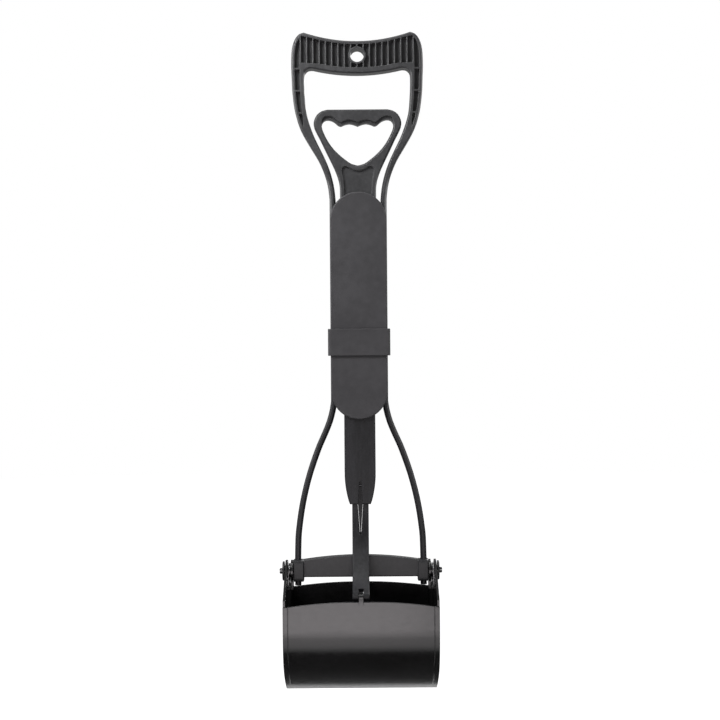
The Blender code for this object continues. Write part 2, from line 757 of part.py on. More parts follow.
def screw_hole(centre, start, face):
    """The cutter for a screw's shank and its sunk head, open at the face."""
    shank = SCREW_SHANK_RADIUS + CLEARANCE
    head = SCREW_HEAD_RADIUS + CLEARANCE
    seat = face - SCREW_HEAD_HEIGHT - CLEARANCE
    mouth = face + OVERRUN
    profile = [(0, start), (shank, start), (shank, seat), (head, seat), (head, mouth), (0, mouth)]
    return turned("screw_hole", profile, centre, "Y", SMALL_SIDES)


def screw_tip_depth():
    """How far past the seam a cover screw reaches into the front cover."""
    return CASE_HALF_DEPTH - COVER_WALL - SCREW_HEAD_HEIGHT


def make_screw(name, centre, head_face, tip):
    """A screw along Y whose head faces the rear."""
    head = head_face - SCREW_HEAD_HEIGHT
    radius = SCREW_HEAD_RADIUS
    profile = [
        (0, head_face), (radius - EDGE, head_face), (radius, head_face - EDGE), (radius, head),
        (SCREW_SHANK_RADIUS, head), (SCREW_SHANK_RADIUS, tip + SCREW_SHANK_RADIUS), (0, tip),
    ]
    screw = turned(name, profile, centre, "Y", SMALL_SIDES)
    arm = SCREW_HEAD_RADIUS - EDGE
    middle = Vector((centre.x, centre.z))
    half = SCREW_CROSS_WIDTH / 2
    for reach in ((arm, half), (half, arm)):
        size = Vector(reach)
        loop = box_loop(middle - size, middle + size)
        cut(screw, plate("cross", [loop], head_face - SCREW_CROSS_DEPTH, head_face + OVERRUN))
    return screw


def make_band():
    half_width = LEG_OUTER + CLEARANCE
    half_depth = CASE_HALF_DEPTH + CLEARANCE
    outer = cut_corner_section(half_width + BAND_WALL, half_depth + BAND_WALL, BAND_CORNER)
    inner = box_loop((-half_width, -half_depth), (half_width, half_depth))
    return plate("collar_band", [outer, inner], -(BAND_TOP_DROP + BAND_HEIGHT), -BAND_TOP_DROP, axis="Z")


def grip_point(share):
    return Vector((share[0] * GRIP_HALF_WIDTH, -(GRIP_TOP_DROP + share[1] * GRIP_HEIGHT)))


def grip_outline():
    side = smooth_curve([grip_point(share) for share in grip_side_shares] + [
        Vector((NECK_HALF_WIDTH, -(GRIP_TOP_DROP + GRIP_HEIGHT)))
    ])
    top = [Vector((0, -GRIP_TOP_DROP))]
    neck = [Vector((NECK_HALF_WIDTH, SHOULDER)), Vector((0, SHOULDER))]
    return mirrored(top + side + neck)


def grip_opening():
    """The finger opening: three finger points above and a rounded wedge below."""
    valley = Vector((FINGER_PITCH / 2, -FINGER_VALLEY_DROP))
    flank_drop = (FINGER_TIP_DROP + FINGER_VALLEY_DROP) / 2
    flank = (FINGER_TIP_DROP - FINGER_VALLEY_DROP) * finger_flank_share
    half = [
        Vector((0, -FINGER_TIP_DROP)),
        Vector((flank, -flank_drop)),
        valley,
        Vector((FINGER_PITCH - flank, -flank_drop)),
        Vector((FINGER_PITCH, -FINGER_TIP_DROP)),
        Vector((FINGER_PITCH + flank, -flank_drop)),
        *(grip_point(share) for share in grip_opening_shares),
        grip_point((0.0, grip_opening_bottom_share)),
    ]
    return mirrored(smooth_curve(half))


def grip_pocket():
    """The sunk panel in the neck below the opening, with its dipped top edge."""
    bottom = -POCKET_BOTTOM_DROP
    points = [Vector((x * NECK_HALF_WIDTH, grip_point((0, z)).y)) for x, z in pocket_shares]
    last = Vector((pocket_bottom_share * NECK_HALF_WIDTH, bottom))
    return mirrored([*smooth_curve(points), last, Vector((0, bottom))])


def make_trigger_grip():
    grip = plate(
        "trigger_grip", [grip_outline(), grip_opening()], -GRIP_HALF_DEPTH, GRIP_HALF_DEPTH, edge=GRIP_EDGE
    )
    floor = GRIP_HALF_DEPTH - POCKET_DEPTH
    cut(
        grip,
        plate("pocket", [grip_pocket()], floor, GRIP_HALF_DEPTH + OVERRUN),
        plate("pocket", [grip_pocket()], -GRIP_HALF_DEPTH - OVERRUN, -floor),
    )
    step = [point + Vector((0, FINGER_STEP_HEIGHT)) for point in grip_opening()]
    cut(
        grip,
        plate("step", [step], floor, GRIP_HALF_DEPTH + OVERRUN),
        plate("step", [step], -GRIP_HALF_DEPTH - OVERRUN, -floor),
    )
    half_width = BAR_HALF_WIDTH - BAR_WALL - CLEARANCE
    half_depth = CHAMBER_HALF_DEPTH - CLEARANCE
    tenon = box_loop((-half_width, SHOULDER - NECK_TENON_LENGTH), (half_width, SHOULDER + OVERRUN))
    add(tidied(grip), plate("tenon", [tenon], -half_depth, half_depth))
    radius = SCREW_SHANK_RADIUS + CLEARANCE
    reach = half_depth + OVERRUN
    for centre in neck_screw_places():
        cut(grip, rod("hole", radius, -GRIP_HALF_DEPTH, reach, centre, "Y", SMALL_SIDES))
    return tidied(grip)


def neck_screw_places():
    x = (BAR_HALF_WIDTH - BAR_WALL) / 2
    z = SHOULDER - NECK_TENON_LENGTH * neck_screw_share
    return [Vector((-x, 0, z)), Vector((x, 0, z))]


def bar_outline():
    spread = BAR_HALF_WIDTH - BAR_END_HALF_WIDTH
    taper_top = BAR_BOTTOM + BAR_TAPER_LENGTH
    taper = smooth_curve([
        Vector((BAR_HALF_WIDTH - x * spread, taper_top - z * BAR_TAPER_LENGTH)) for x, z in bar_taper_shares
    ])
    top = [Vector((0, BAR_TOP)), Vector((BAR_HALF_WIDTH, BAR_TOP))]
    return mirrored([*top, *taper, Vector((0, BAR_BOTTOM))])


def bar_chamber():
    """The hollow of the pull bar: wide for the neck, narrow where it holds the links."""
    wide = BAR_HALF_WIDTH - BAR_WALL
    step = BAR_BOTTOM + LINK_CHAMBER_LENGTH
    shoulder = step + wide - CHAMBER_HALF_WIDTH
    return mirrored([
        Vector((0, BAR_TOP + OVERRUN)),
        Vector((wide, BAR_TOP + OVERRUN)),
        Vector((wide, shoulder)),
        Vector((CHAMBER_HALF_WIDTH, step)),
        Vector((CHAMBER_HALF_WIDTH, BAR_BOTTOM - OVERRUN)),
        Vector((0, BAR_BOTTOM - OVERRUN)),
    ])


def make_pull_bar():
    bar = plate("pull_bar", [bar_outline()], -BAR_HALF_DEPTH, BAR_HALF_DEPTH, edge=EDGE)
    cut(bar, plate("chamber", [bar_chamber()], -CHAMBER_HALF_DEPTH, CHAMBER_HALF_DEPTH))
    web_top = BAR_BOTTOM + LINK_CHAMBER_LENGTH
    sink = BAR_WALL / 2
    inner_depth = CHAMBER_HALF_DEPTH + sink
    root_half = CHAMBER_HALF_WIDTH + sink
    root = box_loop((-root_half, web_top - sink), (root_half, web_top + BAR_WALL))
    web = box_loop((-TONGUE_HALF_WIDTH, BAR_BOTTOM + SLIT_LENGTH), (TONGUE_HALF_WIDTH, web_top + sink))
    add(
        bar,
        plate("root", [root], -inner_depth, inner_depth),
        plate("web", [web], -inner_depth, inner_depth),
    )
    tongue = mirrored([
        Vector((TONGUE_HALF_WIDTH, web_top)),
        Vector((TONGUE_HALF_WIDTH, BAR_BOTTOM)),
        Vector((TONGUE_TIP_HALF_WIDTH, BAR_BOTTOM - TONGUE_LENGTH)),
    ])
    tongue_depth = CHAMBER_HALF_DEPTH * tongue_depth_share
    slit = mirrored([
        Vector((SLIT_TOP_HALF_WIDTH, BAR_BOTTOM + SLIT_LENGTH)),
        Vector((SLIT_END_HALF_WIDTH, BAR_BOTTOM - OVERRUN)),
    ])
    reach = BAR_HALF_DEPTH + OVERRUN
    cut(bar, plate("slit", [slit], -reach, -tongue_depth), plate("slit", [slit], tongue_depth, reach))
    add(bar, plate("tongue", [tongue], -tongue_depth - sink, tongue_depth + sink))
    half = BAR_HALF_WIDTH + OVERRUN
    pin_hole = LINK_PIN_RADIUS + CLEARANCE
    holes = [rod("hole", pin_hole, -half, half, link_pivot(side), "X", SMALL_SIDES) for side in (-1, 1)]
    for centre in neck_screw_places():
        holes.append(screw_hole(centre, 0, BAR_HALF_DEPTH))
    return tidied(cut(bar, *holes))


def link_pivot(side):
    """The axis that a link swings on inside the pull bar: -1 is the front link, 1 the rear one."""
    return Vector((0, side * LINK_TOP_OFFSET, -LINK_TOP_DROP))


def link_path():
    """The front link's centreline: straight out of the bar, then one arc to the jaw pin."""
    start = Vector((-LINK_TOP_OFFSET, -(LINK_TOP_DROP + LINK_STRAIGHT)))
    end = Vector((-JAW_PIN_Y, JAW_PIN_Z))
    chord = end - start
    half_turn = math.atan2(-chord.x, -chord.y)
    radius = chord.length / (2 * math.sin(half_turn))
    path = [Vector((-LINK_TOP_OFFSET, -LINK_TOP_DROP))]
    for step in range(LINK_CURVE_STEPS + 1):
        turn = 2 * half_turn * step / LINK_CURVE_STEPS
        path.append(start + Vector((-radius * (1 - math.cos(turn)), -radius * math.sin(turn))))
    return path, 2 * half_turn


def make_link(name):
    """One bowed link, drawn as the front one: an eye, a curved strap and a knuckle split for the tab."""
    path, end_turn = link_path()
    half = LINK_THICKNESS / 2
    eye = path[0]
    pin = path[-1]
    eye_turn = math.acos(half / LINK_EYE_RADIUS)
    knuckle_turn = math.pi / 2 + math.acos(half / LINK_KNUCKLE_RADIUS)
    heading = -math.pi / 2 - end_turn
    outline = [
        *arc(eye, LINK_EYE_RADIUS, math.pi + eye_turn, -eye_turn, BOSS_SIDES // 2),
        *beside(path, half)[1:-1],
        *arc(pin, LINK_KNUCKLE_RADIUS, heading + knuckle_turn, heading - knuckle_turn, BOSS_SIDES // 2),
        *beside(path, -half)[-2:0:-1],
    ]
    holes = [circle(spot, LINK_PIN_RADIUS + CLEARANCE, SMALL_SIDES) for spot in (eye, pin)]
    link = plate(name, [outline, *holes], -LINK_HALF_WIDTH, LINK_HALF_WIDTH, axis="X", edge=LINK_EDGE)
    top_half = TONGUE_HALF_WIDTH + CLEARANCE
    tip_half = TONGUE_TIP_HALF_WIDTH + CLEARANCE
    fork = mirrored([
        Vector((top_half, 0)), Vector((top_half, BAR_BOTTOM)), Vector((tip_half, -FORK_END_DROP)),
    ])
    gap_low = (-KNUCKLE_GAP_LENGTH, -LINK_KNUCKLE_RADIUS - OVERRUN)
    gap = box_loop(gap_low, (KNUCKLE_GAP_LENGTH, KNUCKLE_GAP_LENGTH))
    gap_half = TAB_HALF_WIDTH + CLEARANCE
    gap_tool = plate("gap", [gap], -gap_half, gap_half, axis="X")
    gap_tool.data.transform(Matrix.Translation(placed(pin, 0, "X")) @ Matrix.Rotation(-end_turn, 4, "X"))
    return tidied(cut(link, plate("fork", [fork], -JAW_REACH, 0), gap_tool))


def yoke_loop(rise_extra=0.0):
    """The cross bar seen from the front: flat below and gently arched above."""
    middle = HINGE_Z + YOKE_TOP_RISE - rise_extra
    end = HINGE_Z + YOKE_END_RISE - rise_extra
    spans = [step / ARCH_STEPS for step in range(ARCH_STEPS + 1)]
    top = [Vector((LUG_INNER * span, middle - (middle - end) * span ** 2)) for span in spans]
    bottom = HINGE_Z - YOKE_HALF_HEIGHT + rise_extra
    return mirrored([*top, Vector((LUG_INNER, bottom)), Vector((0, bottom))])


def make_yoke():
    yoke = plate("hinge_yoke", [yoke_loop()], -YOKE_HALF_DEPTH, YOKE_HALF_DEPTH, edge=YOKE_EDGE)
    floor = YOKE_HALF_DEPTH - YOKE_POCKET_DEPTH
    pockets = []
    pitch = 2 * LUG_INNER / YOKE_POCKETS
    for index in range(YOKE_POCKETS):
        left = -LUG_INNER + index * pitch + YOKE_POCKET_WALL / 2
        right = left + pitch - YOKE_POCKET_WALL
        loop = box_loop((left, HINGE_Z - YOKE_HALF_HEIGHT), (right, HINGE_Z + YOKE_TOP_RISE))
        pockets.append(plate("pocket", [loop], floor, YOKE_HALF_DEPTH + OVERRUN))
    region = plate("region", [yoke_loop(YOKE_POCKET_WALL)], floor - OVERRUN, YOKE_HALF_DEPTH + 2 * OVERRUN)
    cut(yoke, combine(joined("pockets", pockets), region, "INTERSECT"))
    lug_bottom = HINGE_Z - LUG_BOTTOM_FALL
    lug_top = HINGE_Z + LUG_TOP_RISE
    lug_box = box_loop((-LUG_HALF_DEPTH, lug_bottom), (LUG_HALF_DEPTH, lug_top))
    lug_loop = rounded(lug_box, LUG_HALF_DEPTH / 2)
    socket_loop = cut_corner_section(LEG_WIDTH / 2 + CLEARANCE, LEG_HALF_DEPTH + CLEARANCE, LEG_EDGE)
    sockets = []
    bores = []
    for side in (-1, 1):
        low, high = sorted((side * (LUG_INNER - LUG_WALL), side * LUG_OUTER))
        add(yoke, plate("lug", [lug_loop], low, high, axis="X", edge=EDGE))
        socket = [point + Vector((side * ANKLE_X, 0)) for point in socket_loop]
        sockets.append(plate("socket", [socket], lug_bottom - OVERRUN, lug_top + OVERRUN, axis="Z"))
        low, high = sorted((side * (LUG_INNER - CLEARANCE), side * (LUG_OUTER + OVERRUN)))
        bores.append(rod("bore", HINGE_PIN_RADIUS + CLEARANCE, low, high, Vector((0, 0, HINGE_Z)), "X"))
    return tidied(cut(yoke, joined("sockets", sockets), joined("bores", bores)))


def rounded(loop, radius, steps=CURVE_STEPS):
    """A loop of straight runs with each corner replaced by an arc-like bend."""
    result = []
    for before, point, after in zip(loop[-1:] + loop[:-1], loop, loop[1:] + loop[:1]):
        start = point + (before - point).normalized() * radius
        end = point + (after - point).normalized() * radius
        for step in range(steps + 1):
            t = step / steps
            result.append(start * (1 - t) ** 2 + point * (2 * t * (1 - t)) + end * t ** 2)
    return result


def make_hinge_pin(name):
    """A pin whose slotted end snaps out behind the retaining disc."""
    radius = HINGE_PIN_RADIUS
    head = radius + PIN_SNAP_LIP
    profile = [
        (0, LUG_INNER), (radius, LUG_INNER), (radius, SNAP_START), (head, SNAP_START + PIN_SNAP_LIP),
        (head, PIN_END - EDGE), (head - EDGE, PIN_END), (0, PIN_END),
    ]
    pin = turned(name, profile, Vector((0, 0, HINGE_Z)), "X")
    half = PIN_SLOT_WIDTH / 2
    slot = box_loop((-head - OVERRUN, HINGE_Z - half), (head + OVERRUN, HINGE_Z + half))
    return cut(pin, plate("slot", [slot], PIN_END - PIN_SLOT_DEPTH, PIN_END + OVERRUN, axis="X"))


def make_hinge_disc(name):
    outer = circle(Vector((0, HINGE_Z)), DISC_RADIUS)
    bore = circle(Vector((0, HINGE_Z)), HINGE_PIN_RADIUS + CLEARANCE)
    high = DISC_INNER + DISC_THICKNESS
    disc = plate(name, [outer], DISC_INNER, high, axis="X", edge=EDGE / 2, edge_ends=(False, True))
    return cut(disc, plate("bore", [bore], DISC_INNER - OVERRUN, high + OVERRUN, axis="X"))


def spring_hook(x, wall_middle, side):
    """A leg's points, from its hooked end in a jaw's end wall up to where the coil starts."""
    y = side * SPRING_COIL_RADIUS
    low = HINGE_Z - SPRING_LEG_LENGTH
    bend = math.copysign(SPRING_BEND_RADIUS, wall_middle - x)
    return [
        Vector((wall_middle, y, low)), Vector((x + bend, y, low)),
        Vector((x + spring_bend_share * bend, y, low + spring_bend_share * SPRING_BEND_RADIUS)),
        Vector((x, y, low + SPRING_BEND_RADIUS)),
    ]


def spring_points():
    """The right spring's centreline: the front leg, the coil over the hub and the rear leg."""
    front_wall = JAW_HALF_LENGTH - JAW_END_WALL
    middle = front_wall - SPRING_ROOM / 2
    half = SPRING_TURNS * SPRING_PITCH / 2
    steps = round(SPRING_TURNS * SPRING_POINTS_PER_TURN)
    points = spring_hook(middle + half, front_wall + JAW_END_WALL / 2, -1)
    for step in range(steps + 1):
        spot = circle_point(math.pi - math.tau * step / SPRING_POINTS_PER_TURN, SPRING_COIL_RADIUS)
        x = middle + half - step / steps * SPRING_TURNS * SPRING_PITCH
        points.append(Vector((x, spot.x, HINGE_Z + spot.y)))
    return points + spring_hook(middle - half, REAR_EAR_OUTER - JAW_END_WALL / 2, 1)[::-1]


def least_coil_gap(points):
    """The least gap between stretches of the wire that lie over half a turn apart along it."""
    skip = SPRING_POINTS_PER_TURN // 2 + 1
    nearest = min((a - b).length for index, a in enumerate(points) for b in points[index + skip:])
    return nearest - 2 * SPRING_WIRE_RADIUS


def make_spring(name, side):
    curve = bpy.data.curves.new(name, "CURVE")
    curve.dimensions = "3D"
    curve.bevel_depth = SPRING_WIRE_RADIUS
    curve.bevel_resolution = 1
    curve.use_fill_caps = True
    points = spring_points()
    spline = curve.splines.new("POLY")
    spline.points.add(len(points) - 1)
    for spot, point in zip(spline.points, points):
        spot.co = (side * point.x, point.y, point.z, 1)
    return new_object(name, curve)


def jaw_profile():
    """The front jaw's outer skin from its rim down to the lip, as (Y, Z)."""
    points = [Vector((-x * JAW_REACH, HINGE_Z - z * JAW_DEPTH)) for x, z in jaw_profile_shares]
    return smooth_curve([*points, Vector((-JAW_LIP_GAP, HINGE_Z - JAW_DEPTH))])


def end_wall_loop():
    """An end wall: the skin, the seam up to the hinge, round the pin, and the sloping top edge."""
    skin = jaw_profile()
    centre = Vector((0, HINGE_Z))
    corner = skin[0] - centre
    top_turn = math.atan2(corner.y, corner.x) % math.tau - math.acos(JAW_EAR_RADIUS / corner.length)
    seam_turn = -math.pi / 2 - math.asin(JAW_LIP_GAP / JAW_EAR_RADIUS)
    return skin + arc(centre, JAW_EAR_RADIUS, seam_turn, top_turn, ROUND_SIDES)


def ear_rods(radius, low, high):
    """A rod on the hinge's axis at each ear."""
    centre = Vector((0, 0, HINGE_Z))
    return [rod("ear_rod", radius, *sorted((side * low, side * high)), centre, "X") for side in (-1, 1)]


def make_jaw(name, ear_outer, boss_radius, boss_height):
    """One jaw, modelled as the front one: its ears may be set in from its end walls, each with a boss."""
    hook_spot = Vector((-SPRING_COIL_RADIUS, HINGE_Z - SPRING_LEG_LENGTH))
    hook_hole = circle(hook_spot, SPRING_WIRE_RADIUS + CLEARANCE, SMALL_SIDES)
    jaw = plate(name, [end_wall_loop(), hook_hole], -JAW_HALF_LENGTH, JAW_HALF_LENGTH, axis="X")
    half_inside = JAW_HALF_LENGTH - JAW_END_WALL
    skin = beside(jaw_profile(), JAW_SKIN)
    top = HINGE_Z + JAW_REACH
    hollow = [
        Vector((skin[0].x, top)), *skin, Vector((JAW_REACH, skin[-1].y)), Vector((JAW_REACH, top)),
    ]
    hollow_tool = plate("hollow", [hollow], -half_inside, half_inside, axis="X")
    if ear_outer < JAW_HALF_LENGTH:
        cup_radius = EAR_CUP_RADIUS + JAW_END_WALL
        cut(hollow_tool, *ear_rods(cup_radius, ear_outer - JAW_END_WALL, JAW_HALF_LENGTH))
        add(hollow_tool, *ear_rods(EAR_CUP_RADIUS, ear_outer, JAW_HALF_LENGTH + OVERRUN))
    tidied(cut(jaw, tidied(hollow_tool), rim_cutter()))
    tidied(add(jaw, rim_tab()))
    boss_end = ear_outer + boss_height
    reach = JAW_HALF_LENGTH + OVERRUN
    add(jaw, *ear_rods(boss_radius, ear_outer - JAW_END_WALL / 2, boss_end))
    bore = circle(Vector((0, HINGE_Z)), HINGE_PIN_RADIUS + CLEARANCE)
    return tidied(cut(jaw, plate("bore", [bore], -reach, reach, axis="X")))


def make_rear_jaw(name):
    """The jaw, turned round, whose ears are set in and carry the hubs inside the springs."""
    jaw = make_jaw(name, REAR_EAR_OUTER, HUB_RADIUS, SPRING_ROOM - CLEARANCE)
    jaw.data.transform(Matrix.Rotation(math.pi, 4, "Z"))
    return jaw


def rim_cutter():
    """The cutter that arches the rim: high in the middle, low at both corners."""
    steps = range(-ARCH_STEPS, ARCH_STEPS + 1)
    reach = JAW_HALF_LENGTH + OVERRUN
    rim = HINGE_Z - JAW_RIM_FALL
    spans = [step / steps[-1] for step in steps]
    arch = [Vector((reach * span, rim - JAW_RIM_ARCH * span ** 2)) for span in spans]
    top = HINGE_Z + JAW_REACH
    loop = [*arch, Vector((reach, top)), Vector((-reach, top))]
    return plate("rim_cutter", [loop], -JAW_REACH - OVERRUN, -JAW_REACH + JAW_SKIN + CLEARANCE)


def rim_tab():
    """The lug in the middle of the rim that the link's knuckle straddles, with its slot for the pin."""
    pin = Vector((-JAW_PIN_Y, JAW_PIN_Z))
    slot_radius = LINK_PIN_RADIUS + CLEARANCE + TAB_SLOT_SLACK
    slot = slot_loop(pin, TAB_SLOT_REACH, slot_radius, TAB_SLOT_ANGLE, BOSS_SIDES)
    head = slot_loop(pin, TAB_SLOT_REACH, slot_radius + TAB_WALL, TAB_SLOT_ANGLE, BOSS_SIDES)
    wall = -JAW_REACH + JAW_SKIN / 2
    low = HINGE_Z - JAW_RIM_FALL - TAB_FOOT
    loop = hull([*head, Vector((wall, low)), Vector((wall + JAW_SKIN, low))])
    return plate("tab", [loop, slot], -TAB_HALF_WIDTH, TAB_HALF_WIDTH, axis="X")


def make_link_pin(name, half_length, place):
    return rod(name, LINK_PIN_RADIUS, -half_length, half_length, place, "X", SMALL_SIDES)


def set_finish(obj, material):
    obj.data.materials.clear()
    obj.data.materials.append(material)
    if obj.type == "MESH":
        obj.data.shade_smooth()
        obj.data.set_sharp_from_angle(angle=SMOOTH_ANGLE)


def hang_on(empty_name, place, pieces):
    """Parents pieces to an empty on their joint's axis, with their meshes drawn from that point."""
    empty = bpy.data.objects.new(empty_name, None)
    bpy.context.collection.objects.link(empty)
    empty.location = place
    for piece in pieces:
        piece.data.transform(Matrix.Translation(-place))
        piece.parent = empty


def build():
    clear_scene()
    moulded = make_material("moulded_plastic", (0.033, 0.033, 0.035), 0.42)
    cover_plastic = make_material("cover_plastic", (0.050, 0.049, 0.052), 0.50)
    bar_plastic = make_material("bar_plastic", (0.024, 0.024, 0.027), 0.45)
    jaw_plastic = make_material("jaw_plastic", (0.018, 0.018, 0.019), 0.18)
    steel = make_material("dark_steel", (0.060, 0.060, 0.063), 0.35, 1.0)
    zinc = make_material("zinc_steel", (0.420, 0.420, 0.430), 0.35, 1.0)

    frame = {
        "handle_frame": (make_handle_frame(), moulded),
        "right_leg": (make_leg("right_leg"), moulded),
        "front_cover": (make_cover("front_cover", False), cover_plastic),
        "rear_cover": (make_cover("rear_cover", True), cover_plastic),
        "collar_band": (make_band(), cover_plastic),
        "hinge_yoke": (make_yoke(), moulded),
        "right_hinge_pin": (make_hinge_pin("right_hinge_pin"), steel),
        "right_hinge_disc": (make_hinge_disc("right_hinge_disc"), moulded),
    }
    for name, side in (("left_torsion_spring", -1), ("right_torsion_spring", 1)):
        frame[name] = (make_spring(name, side), zinc)
    for name in ("leg", "hinge_pin", "hinge_disc"):
        right, finish = frame[f"right_{name}"]
        frame[f"left_{name}"] = (reflect(right, f"left_{name}", "X"), finish)
    number = 0
    for height in screw_heights():
        for side in (-1, 1):
            number += 1
            name = f"cover_screw_{number}"
            centre = Vector((side * SCREW_X, 0, height))
            frame[name] = (make_screw(name, centre, COVER_FACE, -screw_tip_depth()), zinc)

    trigger = {
        "trigger_grip": (make_trigger_grip(), moulded),
        "pull_bar": (make_pull_bar(), bar_plastic),
    }
    for index, centre in enumerate(neck_screw_places()):
        name = f"neck_screw_{index + 1}"
        tip = -(CHAMBER_HALF_DEPTH - BAR_WALL)
        trigger[name] = (make_screw(name, centre, BAR_HALF_DEPTH, tip), zinc)
    for name, side in (("front_link_pin", -1), ("rear_link_pin", 1)):
        trigger[name] = (make_link_pin(name, BAR_END_HALF_WIDTH, link_pivot(side)), steel)

    front_link = make_link("front_link")
    rear_link = reflect(front_link, "rear_link", "Y")
    jaw_pins = [
        make_link_pin(name, LINK_HALF_WIDTH, Vector((0, side * JAW_PIN_Y, JAW_PIN_Z)))
        for name, side in (("front_jaw_pin", -1), ("rear_jaw_pin", 1))
    ]
    hinge = Vector((0, 0, HINGE_Z))
    front_jaw = make_jaw("front_jaw", JAW_HALF_LENGTH, EAR_BOSS_RADIUS, EAR_BOSS_HEIGHT)
    rear_jaw = make_rear_jaw("rear_jaw")
    bodies = [
        ("frame", Vector((0, 0, 0)), list(frame.values())),
        ("trigger_slide", Vector((0, 0, -GRIP_TOP_DROP)), list(trigger.values())),
        ("front_link_pivot", link_pivot(-1), [(front_link, moulded), (jaw_pins[0], steel)]),
        ("rear_link_pivot", link_pivot(1), [(rear_link, moulded), (jaw_pins[1], steel)]),
        ("front_jaw_pivot", hinge, [(front_jaw, jaw_plastic)]),
        ("rear_jaw_pivot", hinge, [(rear_jaw, jaw_plastic)]),
    ]
    for empty_name, place, pieces in bodies:
        for obj, finish in pieces:
            set_finish(obj, finish)
        hang_on(empty_name, place, [obj for obj, finish in pieces])
    print(f"spring gap {least_coil_gap(spring_points()) * 1000:.2f} mm")


build()
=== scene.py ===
"""Looks of a long-handled pooper scooper: moulded plastics, screws, springs, a studio and a camera."""

import json
import math
from dataclasses import dataclass

import bmesh
import bpy
from bpy.props import FloatProperty, FloatVectorProperty, IntProperty, PointerProperty
from mathutils import Matrix, Vector


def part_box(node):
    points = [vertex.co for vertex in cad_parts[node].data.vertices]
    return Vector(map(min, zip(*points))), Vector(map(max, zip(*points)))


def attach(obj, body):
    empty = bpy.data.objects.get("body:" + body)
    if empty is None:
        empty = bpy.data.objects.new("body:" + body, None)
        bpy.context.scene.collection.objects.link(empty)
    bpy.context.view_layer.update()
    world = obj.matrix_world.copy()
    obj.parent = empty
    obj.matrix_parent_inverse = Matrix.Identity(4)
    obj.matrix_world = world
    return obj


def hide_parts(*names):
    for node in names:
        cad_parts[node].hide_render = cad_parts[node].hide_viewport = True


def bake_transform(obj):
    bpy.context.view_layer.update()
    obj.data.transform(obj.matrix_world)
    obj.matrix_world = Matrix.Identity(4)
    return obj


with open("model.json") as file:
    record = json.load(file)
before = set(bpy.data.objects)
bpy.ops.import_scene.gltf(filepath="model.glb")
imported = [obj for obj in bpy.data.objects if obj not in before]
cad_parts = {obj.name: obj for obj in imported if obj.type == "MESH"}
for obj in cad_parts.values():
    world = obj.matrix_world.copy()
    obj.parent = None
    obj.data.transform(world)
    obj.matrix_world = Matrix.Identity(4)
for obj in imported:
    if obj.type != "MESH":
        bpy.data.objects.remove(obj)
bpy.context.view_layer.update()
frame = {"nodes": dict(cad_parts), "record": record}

bl_info = {
    "name": "Pooper Scooper Looks",
    "version": (1, 0, 0),
    "blender": (4, 5, 0),
    "location": "3D View > Sidebar > Scooper",
    "description": "Finishes a long-handled pooper scooper and sets it in a studio",
    "category": "Object",
}

MM = 0.001

# What the frame says about the nodes
SLOT_OF = {part["node"]: part["material_slot"] for part in frame["record"]["subparts"]}
BODY_OF = {
    node: body for body, nodes in frame["record"]["behaviour"]["bodies"].items() for node in nodes
}
COVER_SCREWS = sorted(node for node in SLOT_OF if node.startswith("cover_screw"))
NECK_SCREWS = sorted(node for node in SLOT_OF if node.startswith("neck_screw"))
DISC_LOW, DISC_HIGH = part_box("right_hinge_disc")
HINGE_Z = (DISC_LOW.z + DISC_HIGH.z) / 2

# Mesh clean-up
MERGE_DISTANCE = 0.002 * MM
FLAT_ANGLE = math.radians(0.4)
SHARP_ANGLE = math.radians(34)

# The mould's parting line, a ridge with a flat crest
PARTING_CREST_HALF_WIDTH = 0.12 * MM
PARTING_FOOT_HALF_WIDTH = 0.22 * MM
PARTING_HEIGHT = 0.06 * MM

# The grooves near both ends of a jaw, set in from its ends and blackened with painted shade
GROOVE_INSET = 6.2 * MM
GROOVE_FLOOR_HALF_WIDTH = 0.175 * MM
GROOVE_BRIM_HALF_WIDTH = 0.525 * MM
GROOVE_DEPTH = 0.35 * MM

# The gate mark on the front of the band, right of the middle and above the lower rim
GATE_X = 5.0 * MM
GATE_RISE = 4.8 * MM
GATE_RADIUS = 0.8 * MM
GATE_HEIGHT = 0.12 * MM

# How every finish varies: broad clouds and fine streaks, sized against the finish's own wave
CLOUD_SIZE = 2
CLOUD_DETAIL = 3.0
CLOUD_SHARE = 0.6
STREAK_SIZE = 1 / 4
STREAK_DETAIL = 4.0
TONE_RANGE = (0.32, 0.68)
GRAIN_DETAIL = 2.0

# How an edge is worn and given a painted highlight: it is paler, partly as wear and partly as a painted
# highlight, and duller where its rounding turns away from the flat face
EDGE_SAMPLES = 6
EDGE_WEAR_AND_HIGHLIGHT_RANGE = (0.01, 0.20)
EDGE_WEAR_AND_HIGHLIGHT_SHARE = 0.5
EDGE_WEAR_AND_HIGHLIGHT_GAIN = 1.5
EDGE_WEAR_AND_HIGHLIGHT_LIFT = 0.004
WORN_ROUGHNESS = 0.06

# A screw head's rings, the length of its cross against its radius, and how far the shank reaches into it
HEAD_RINGS = 6
RECESS_SPAN = 1.35
SHANK_OVERLAP = 0.2 * MM
SCREW_SEED = 5

# How finely the springs' wire and the band's corners are stepped
WIRE_SIDES = 16
BEND_STEPS = 6
BAND_CORNER_STEPS = 6

# What the lamps face, and the colours of their light
CASE_MIDDLE = (0, 0, -0.25)
CASE_TOP = (0, 0, -0.15)
JAW_FRONT = (0, -0.064, -0.61)
WHITE_LIGHT = (1.0, 1.0, 1.0)
ROSY_LIGHT = (1.0, 0.94, 0.96)

# The floor: the radius and rise of each ring, and the two greys of its paper
FLOOR_RINGS = ((3.0, 0.0), (6.0, 0.0), (9.0, 0.02))
FLOOR_SIDES = 96
FLOOR_TONES = (0.78, 0.82)
FLOOR_MOTTLE = 0.4

# The floor's own brightness near the scooper, and the distances over which it grows to white
FLOOR_GLOW = 0.80
FLOOR_FADE = (0.8, 2.2)

# The dark card under the jaws
FLAG_PLACE = Vector((0.0, -0.09, -1.00))
FLAG_HALF_SIZE = (0.45, 0.45)
FLAG_CELLS = 6
FLAG_TONES = (0.05, 0.07)
FLAG_MOTTLE = 0.05

